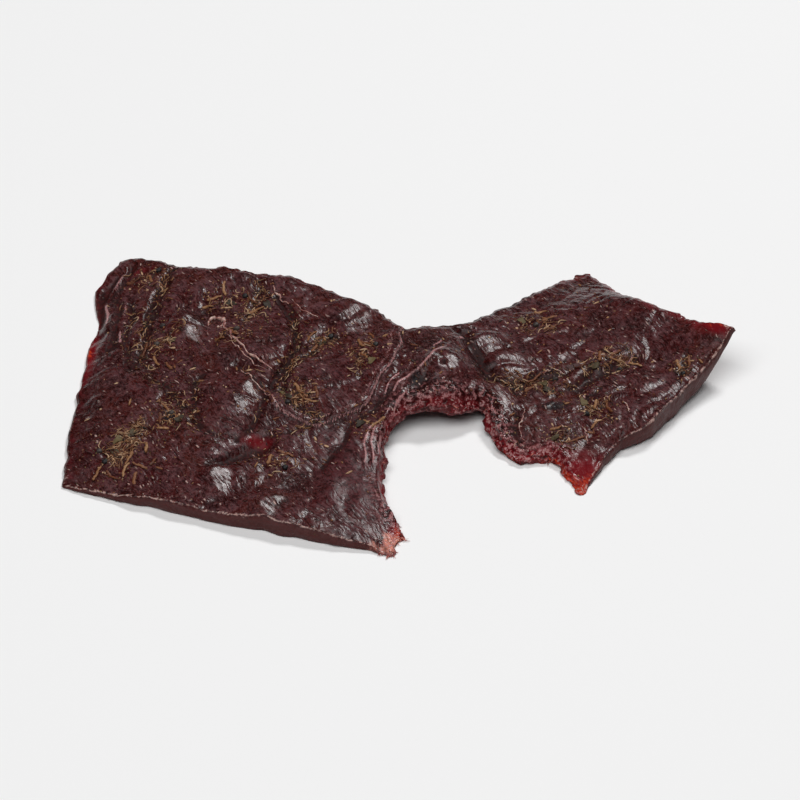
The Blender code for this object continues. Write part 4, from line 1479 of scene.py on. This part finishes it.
def thread_places(rng):
    """Herb threads lie along the dusty furrows, within 0.7 mm or so, and all round the herb patches."""
    spots, headings = [], []
    for _, _, gold, route in FURROWS:
        route = np.array(route)
        knots = knots_by_length(route)
        length = np.linalg.norm(np.diff(route, axis=0), axis=1).sum()
        at = rng.uniform(0.01, 0.99, int(gold * length * THREADS_EACH_MM))
        spot = smooth_curve(route, knots, at)
        ahead = smooth_curve(route, knots, at + 0.01) - spot
        spots.append(spot + rng.normal(0, 0.7, spot.shape))
        headings.append(np.arctan2(ahead[:, 1], ahead[:, 0]) + rng.normal(0, 0.6, len(at)))
    for px, py, rx, ry, pieces in HERB_PATCHES:
        count = int(pieces**2 * THREADS_EACH_PIECE)
        tufts = rng.normal((px, py), (rx * 0.55, ry * 0.55), (TUFTS_EACH_PATCH, 2))
        spots.append(tufts[rng.integers(0, TUFTS_EACH_PATCH, count)] + rng.normal(0, 0.9, (count, 2)))
        headings.append(rng.uniform(0, 2 * np.pi, count))
    x, y = np.concatenate(spots).T
    heading = np.concatenate(headings)
    inside = on_slice(x, y)
    return x[inside], y[inside], heading[inside]


def build_threads(settings):
    """Dry herb threads: each an arc with a wiggle, laid on the surface, some lifted in the middle."""
    rng = np.random.default_rng(THREAD_SEED)
    x, y, heading = thread_places(rng)
    count = len(x)
    at = np.linspace(-0.5, 0.5, THREAD_STEPS)[None]
    length = rng.uniform(0.5, 2.4, (count, 1))
    arc = rng.normal(0, 0.9, (count, 1)) * at**2 + 0.03 * np.sin(at * 9 + rng.uniform(0, 6, (count, 1)))
    cos, sin = np.cos(heading)[:, None], np.sin(heading)[:, None]
    line_x = x[:, None] + length * (at * cos - arc * sin)
    line_y = y[:, None] + length * (at * sin + arc * cos)
    radius = rng.uniform(*THREAD_RADII, (count, 1)) * (1.05 - (2 * at) ** 4)
    lift = 0.25 * np.clip(rng.normal(0, 1, (count, 1)), 0, 2) * (1 - (2 * at) ** 2)
    line_z = top(line_x.ravel(), line_y.ravel()).reshape(line_x.shape) + 0.04 + lift
    points, faces = tubes(np.stack([line_x, line_y, line_z], axis=-1), radius, 4)
    material = herb_material("herb_thread", 0.5, *plant_tones(settings))
    return add_repeated("herb_threads", points, faces, rng.uniform(0.0, 1.0, count) ** 1.2, material)


def build_sinews():
    """Pale sinew threads that lie half sunk along their routes, thinning to both ends."""
    at = np.linspace(0, 1, SINEW_STEPS)
    lines, radii = [], []
    for number, (radius, route) in enumerate(SINEWS):
        route = np.array(route)
        wave, jog = (value_noise(at * often, np.full_like(at, number), 1.0, 91) for often in (9.0, 27.0))
        xy = smooth_curve(route, knots_by_length(route), at)
        xy += 0.2 * np.stack([wave + 0.5 * jog, wave[::-1] - jog], axis=1)
        lines.append(np.column_stack([xy, top(*xy.T) + radius * (0.1 + 0.5 * jog)]))
        tapered = 0.25 + 0.75 * np.sin(np.pi * at).clip(0) ** 0.5
        radii.append(radius * tapered * (1 + 0.3 * wave + 0.4 * jog))
    radii = np.array(radii)
    points, faces = tubes(np.array(lines), radii, 8, 0.7, 5.0 * radii)
    material = strand_material("sinew", *SINEW_COLOURS, 0.3)
    return add_repeated("sinew_threads", points, faces, np.zeros(len(lines)), material)


def build_strands():
    """Frayed threads along the torn edges: each leaves the rim outward, bends down and thins to a point."""
    rng = np.random.default_rng(STRAND_SEED)
    count = HORN_STRANDS + EDGE_STRANDS
    s = rng.uniform(STATION_KNOTS[TORN_FROM], STATION_KNOTS[TORN_TO], count)
    s[:HORN_STRANDS] = rng.uniform(STATION_KNOTS[HORN_STATION - 3], STATION_KNOTS[HORN_STATION], HORN_STRANDS)
    flat = np.zeros_like(s)
    start = plan(s, flat).T
    ahead = unit(plan(s + 0.002, flat).T - start)
    way = unit(np.stack([ahead[:, 1], -ahead[:, 0]], axis=1) + ahead * rng.normal(0, 0.8, (count, 1)))
    side = np.stack([-way[:, 1], way[:, 0]], axis=1) * rng.normal(0, 0.4, (count, 1))
    at = np.linspace(-0.7, 1, STRAND_STEPS)
    length = rng.uniform(0.4, 1.3, (count, 1))
    xy = start[:, None] + (way[:, None] * at[:, None] + side[:, None] * at[:, None] ** 2) * length[:, None]
    sink = rng.uniform(0.3, 0.9, (count, 1)) * thickness(*start.T)[:, None]
    drop = rng.uniform(0.0, 0.5, (count, 1)) * at.clip(0) ** 2 * length
    z = np.maximum(top(*start.T)[:, None] - sink - drop, STRAND_LOWEST)
    radius = rng.uniform(*STRAND_RADII, (count, 1)) * (1.05 - at.clip(0)).clip(0.1, 1)
    points, faces = tubes(np.concatenate([xy, z[..., None]], axis=-1), radius, 6)
    material = strand_material("frayed_meat", *FRAYED_COLOURS, 0.4)
    return add_repeated("frayed_strands", points, faces, np.zeros(count), material)


# Operators and panel

class MEAT_OT_slice(bpy.types.Operator):
    """Build the dried slice itself"""

    bl_idname = "meat.slice"
    bl_label = "Meat slice"

    def execute(self, context):
        piece = build_slice(context.scene.meat_slice)
        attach(piece, "root")
        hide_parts(SLICE_NODE)
        return {"FINISHED"}


class MEAT_OT_sinews(bpy.types.Operator):
    """Lay the pale sinew threads on the slice"""

    bl_idname = "meat.sinews"
    bl_label = "Sinews"

    def execute(self, context):
        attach(build_sinews(), "root")
        return {"FINISHED"}


class MEAT_OT_strands(bpy.types.Operator):
    """Add the frayed threads along the torn edges"""

    bl_idname = "meat.strands"
    bl_label = "Frayed strands"

    def execute(self, context):
        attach(build_strands(), "root")
        return {"FINISHED"}


class MEAT_OT_herbs(bpy.types.Operator):
    """Lay the herb stalks, leaf flakes and threads on the slice"""

    bl_idname = "meat.herbs"
    bl_label = "Herbs"

    def execute(self, context):
        settings = context.scene.meat_herbs
        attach(build_stalks(settings), "root")
        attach(build_leaves(settings), "root")
        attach(build_threads(settings), "root")
        return {"FINISHED"}


class MEAT_OT_pepper(bpy.types.Operator):
    """Lay the cracked pepper and the fine crumbs on the slice"""

    bl_idname = "meat.pepper"
    bl_label = "Pepper and crumbs"

    def execute(self, context):
        settings = context.scene.meat_herbs
        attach(build_pepper(settings), "root")
        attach(build_crumbs(settings), "root")
        return {"FINISHED"}


def area_light(name, place, size, power):
    """A rectangular light that faces the middle of the slice."""
    light = bpy.data.lights.new(name, "AREA")
    light.shape = "RECTANGLE"
    light.size, light.size_y = size
    light.energy = power
    lamp = bpy.data.objects.new(name, light)
    lamp.location = place
    lamp.rotation_euler = (-Vector(place)).to_track_quat("-Z", "Y").to_euler()
    bpy.context.scene.collection.objects.link(lamp)


class MEAT_OT_stage(bpy.types.Operator):
    """Set the floor, the lights, the white room and the camera"""

    bl_idname = "meat.stage"
    bl_label = "Stage"

    def execute(self, context):
        settings = context.scene.meat_stage
        corners = FLOOR_HALF * np.array([(-1, -1, 0), (1, -1, 0), (1, 1, 0), (-1, 1, 0)])
        paint = Paint("floor")
        floor_material = paint.finish(
            {"Roughness": 0.85 + 0.05 * paint.noise(paint.place_mm(), 40.0)},
            {"Base Color": (*settings.floor_colour, 1.0), "Specular IOR Level": 0.2},
        )
        floor = add_mesh("floor", corners, [np.array([[0, 1, 2, 3]])], floor_material)
        area_light("key", KEY_PLACE, KEY_SIZE, settings.key_power)
        area_light("fill", FILL_PLACE, FILL_SIZE, settings.fill_power)
        world = bpy.data.worlds.new("white room")
        context.scene.world = world
        world.use_nodes = True
        world.node_tree.nodes["Background"].inputs["Color"].default_value = (1.0, 1.0, 1.0, 1.0)
        world.node_tree.nodes["Background"].inputs["Strength"].default_value = settings.surround
        context.scene.view_settings.view_transform = "Standard"
        lens = bpy.data.cameras.new("camera")
        lens.lens = settings.lens
        lens.clip_start, lens.clip_end = 0.01, 20.0
        camera = bpy.data.objects.new("camera", lens)
        back = Vector((0.0, -math.cos(settings.elevation), math.sin(settings.elevation)))
        camera.location = Vector(AIM) + back * settings.distance
        camera.rotation_euler = (-back).to_track_quat("-Z", "Y").to_euler()
        context.scene.collection.objects.link(camera)
        context.scene.camera = camera
        return {"FINISHED"}


STEPS = (MEAT_OT_slice, MEAT_OT_sinews, MEAT_OT_strands, MEAT_OT_herbs, MEAT_OT_pepper, MEAT_OT_stage)
GROUPS = {"meat_slice": MeatSliceSettings, "meat_herbs": MeatHerbSettings, "meat_stage": MeatStageSettings}


class MEAT_PT_panel(bpy.types.Panel):
    """Lists the steps in the order that they are run, and the settings"""

    bl_label = "Meat slice"
    bl_space_type = "VIEW_3D"
    bl_region_type = "UI"
    bl_category = "Meat slice"

    def draw(self, context):
        for step in STEPS:
            self.layout.operator(step.bl_idname)
        for name, group in GROUPS.items():
            box = self.layout.box()
            for key in group.__annotations__:
                box.prop(getattr(context.scene, name), key)


def register():
    for kind in (*GROUPS.values(), *STEPS, MEAT_PT_panel):
        bpy.utils.register_class(kind)
    for name, group in GROUPS.items():
        setattr(bpy.types.Scene, name, PointerProperty(type=group))


def unregister():
    for name in GROUPS:
        delattr(bpy.types.Scene, name)
    for kind in (*GROUPS.values(), *STEPS, MEAT_PT_panel):
        bpy.utils.unregister_class(kind)


def main():
    register()
    bpy.ops.meat.slice()
    bpy.ops.meat.sinews()
    bpy.ops.meat.strands()
    bpy.ops.meat.herbs()
    bpy.ops.meat.pepper()
    bpy.ops.meat.stage()


if __name__ == "__main__":
    main()
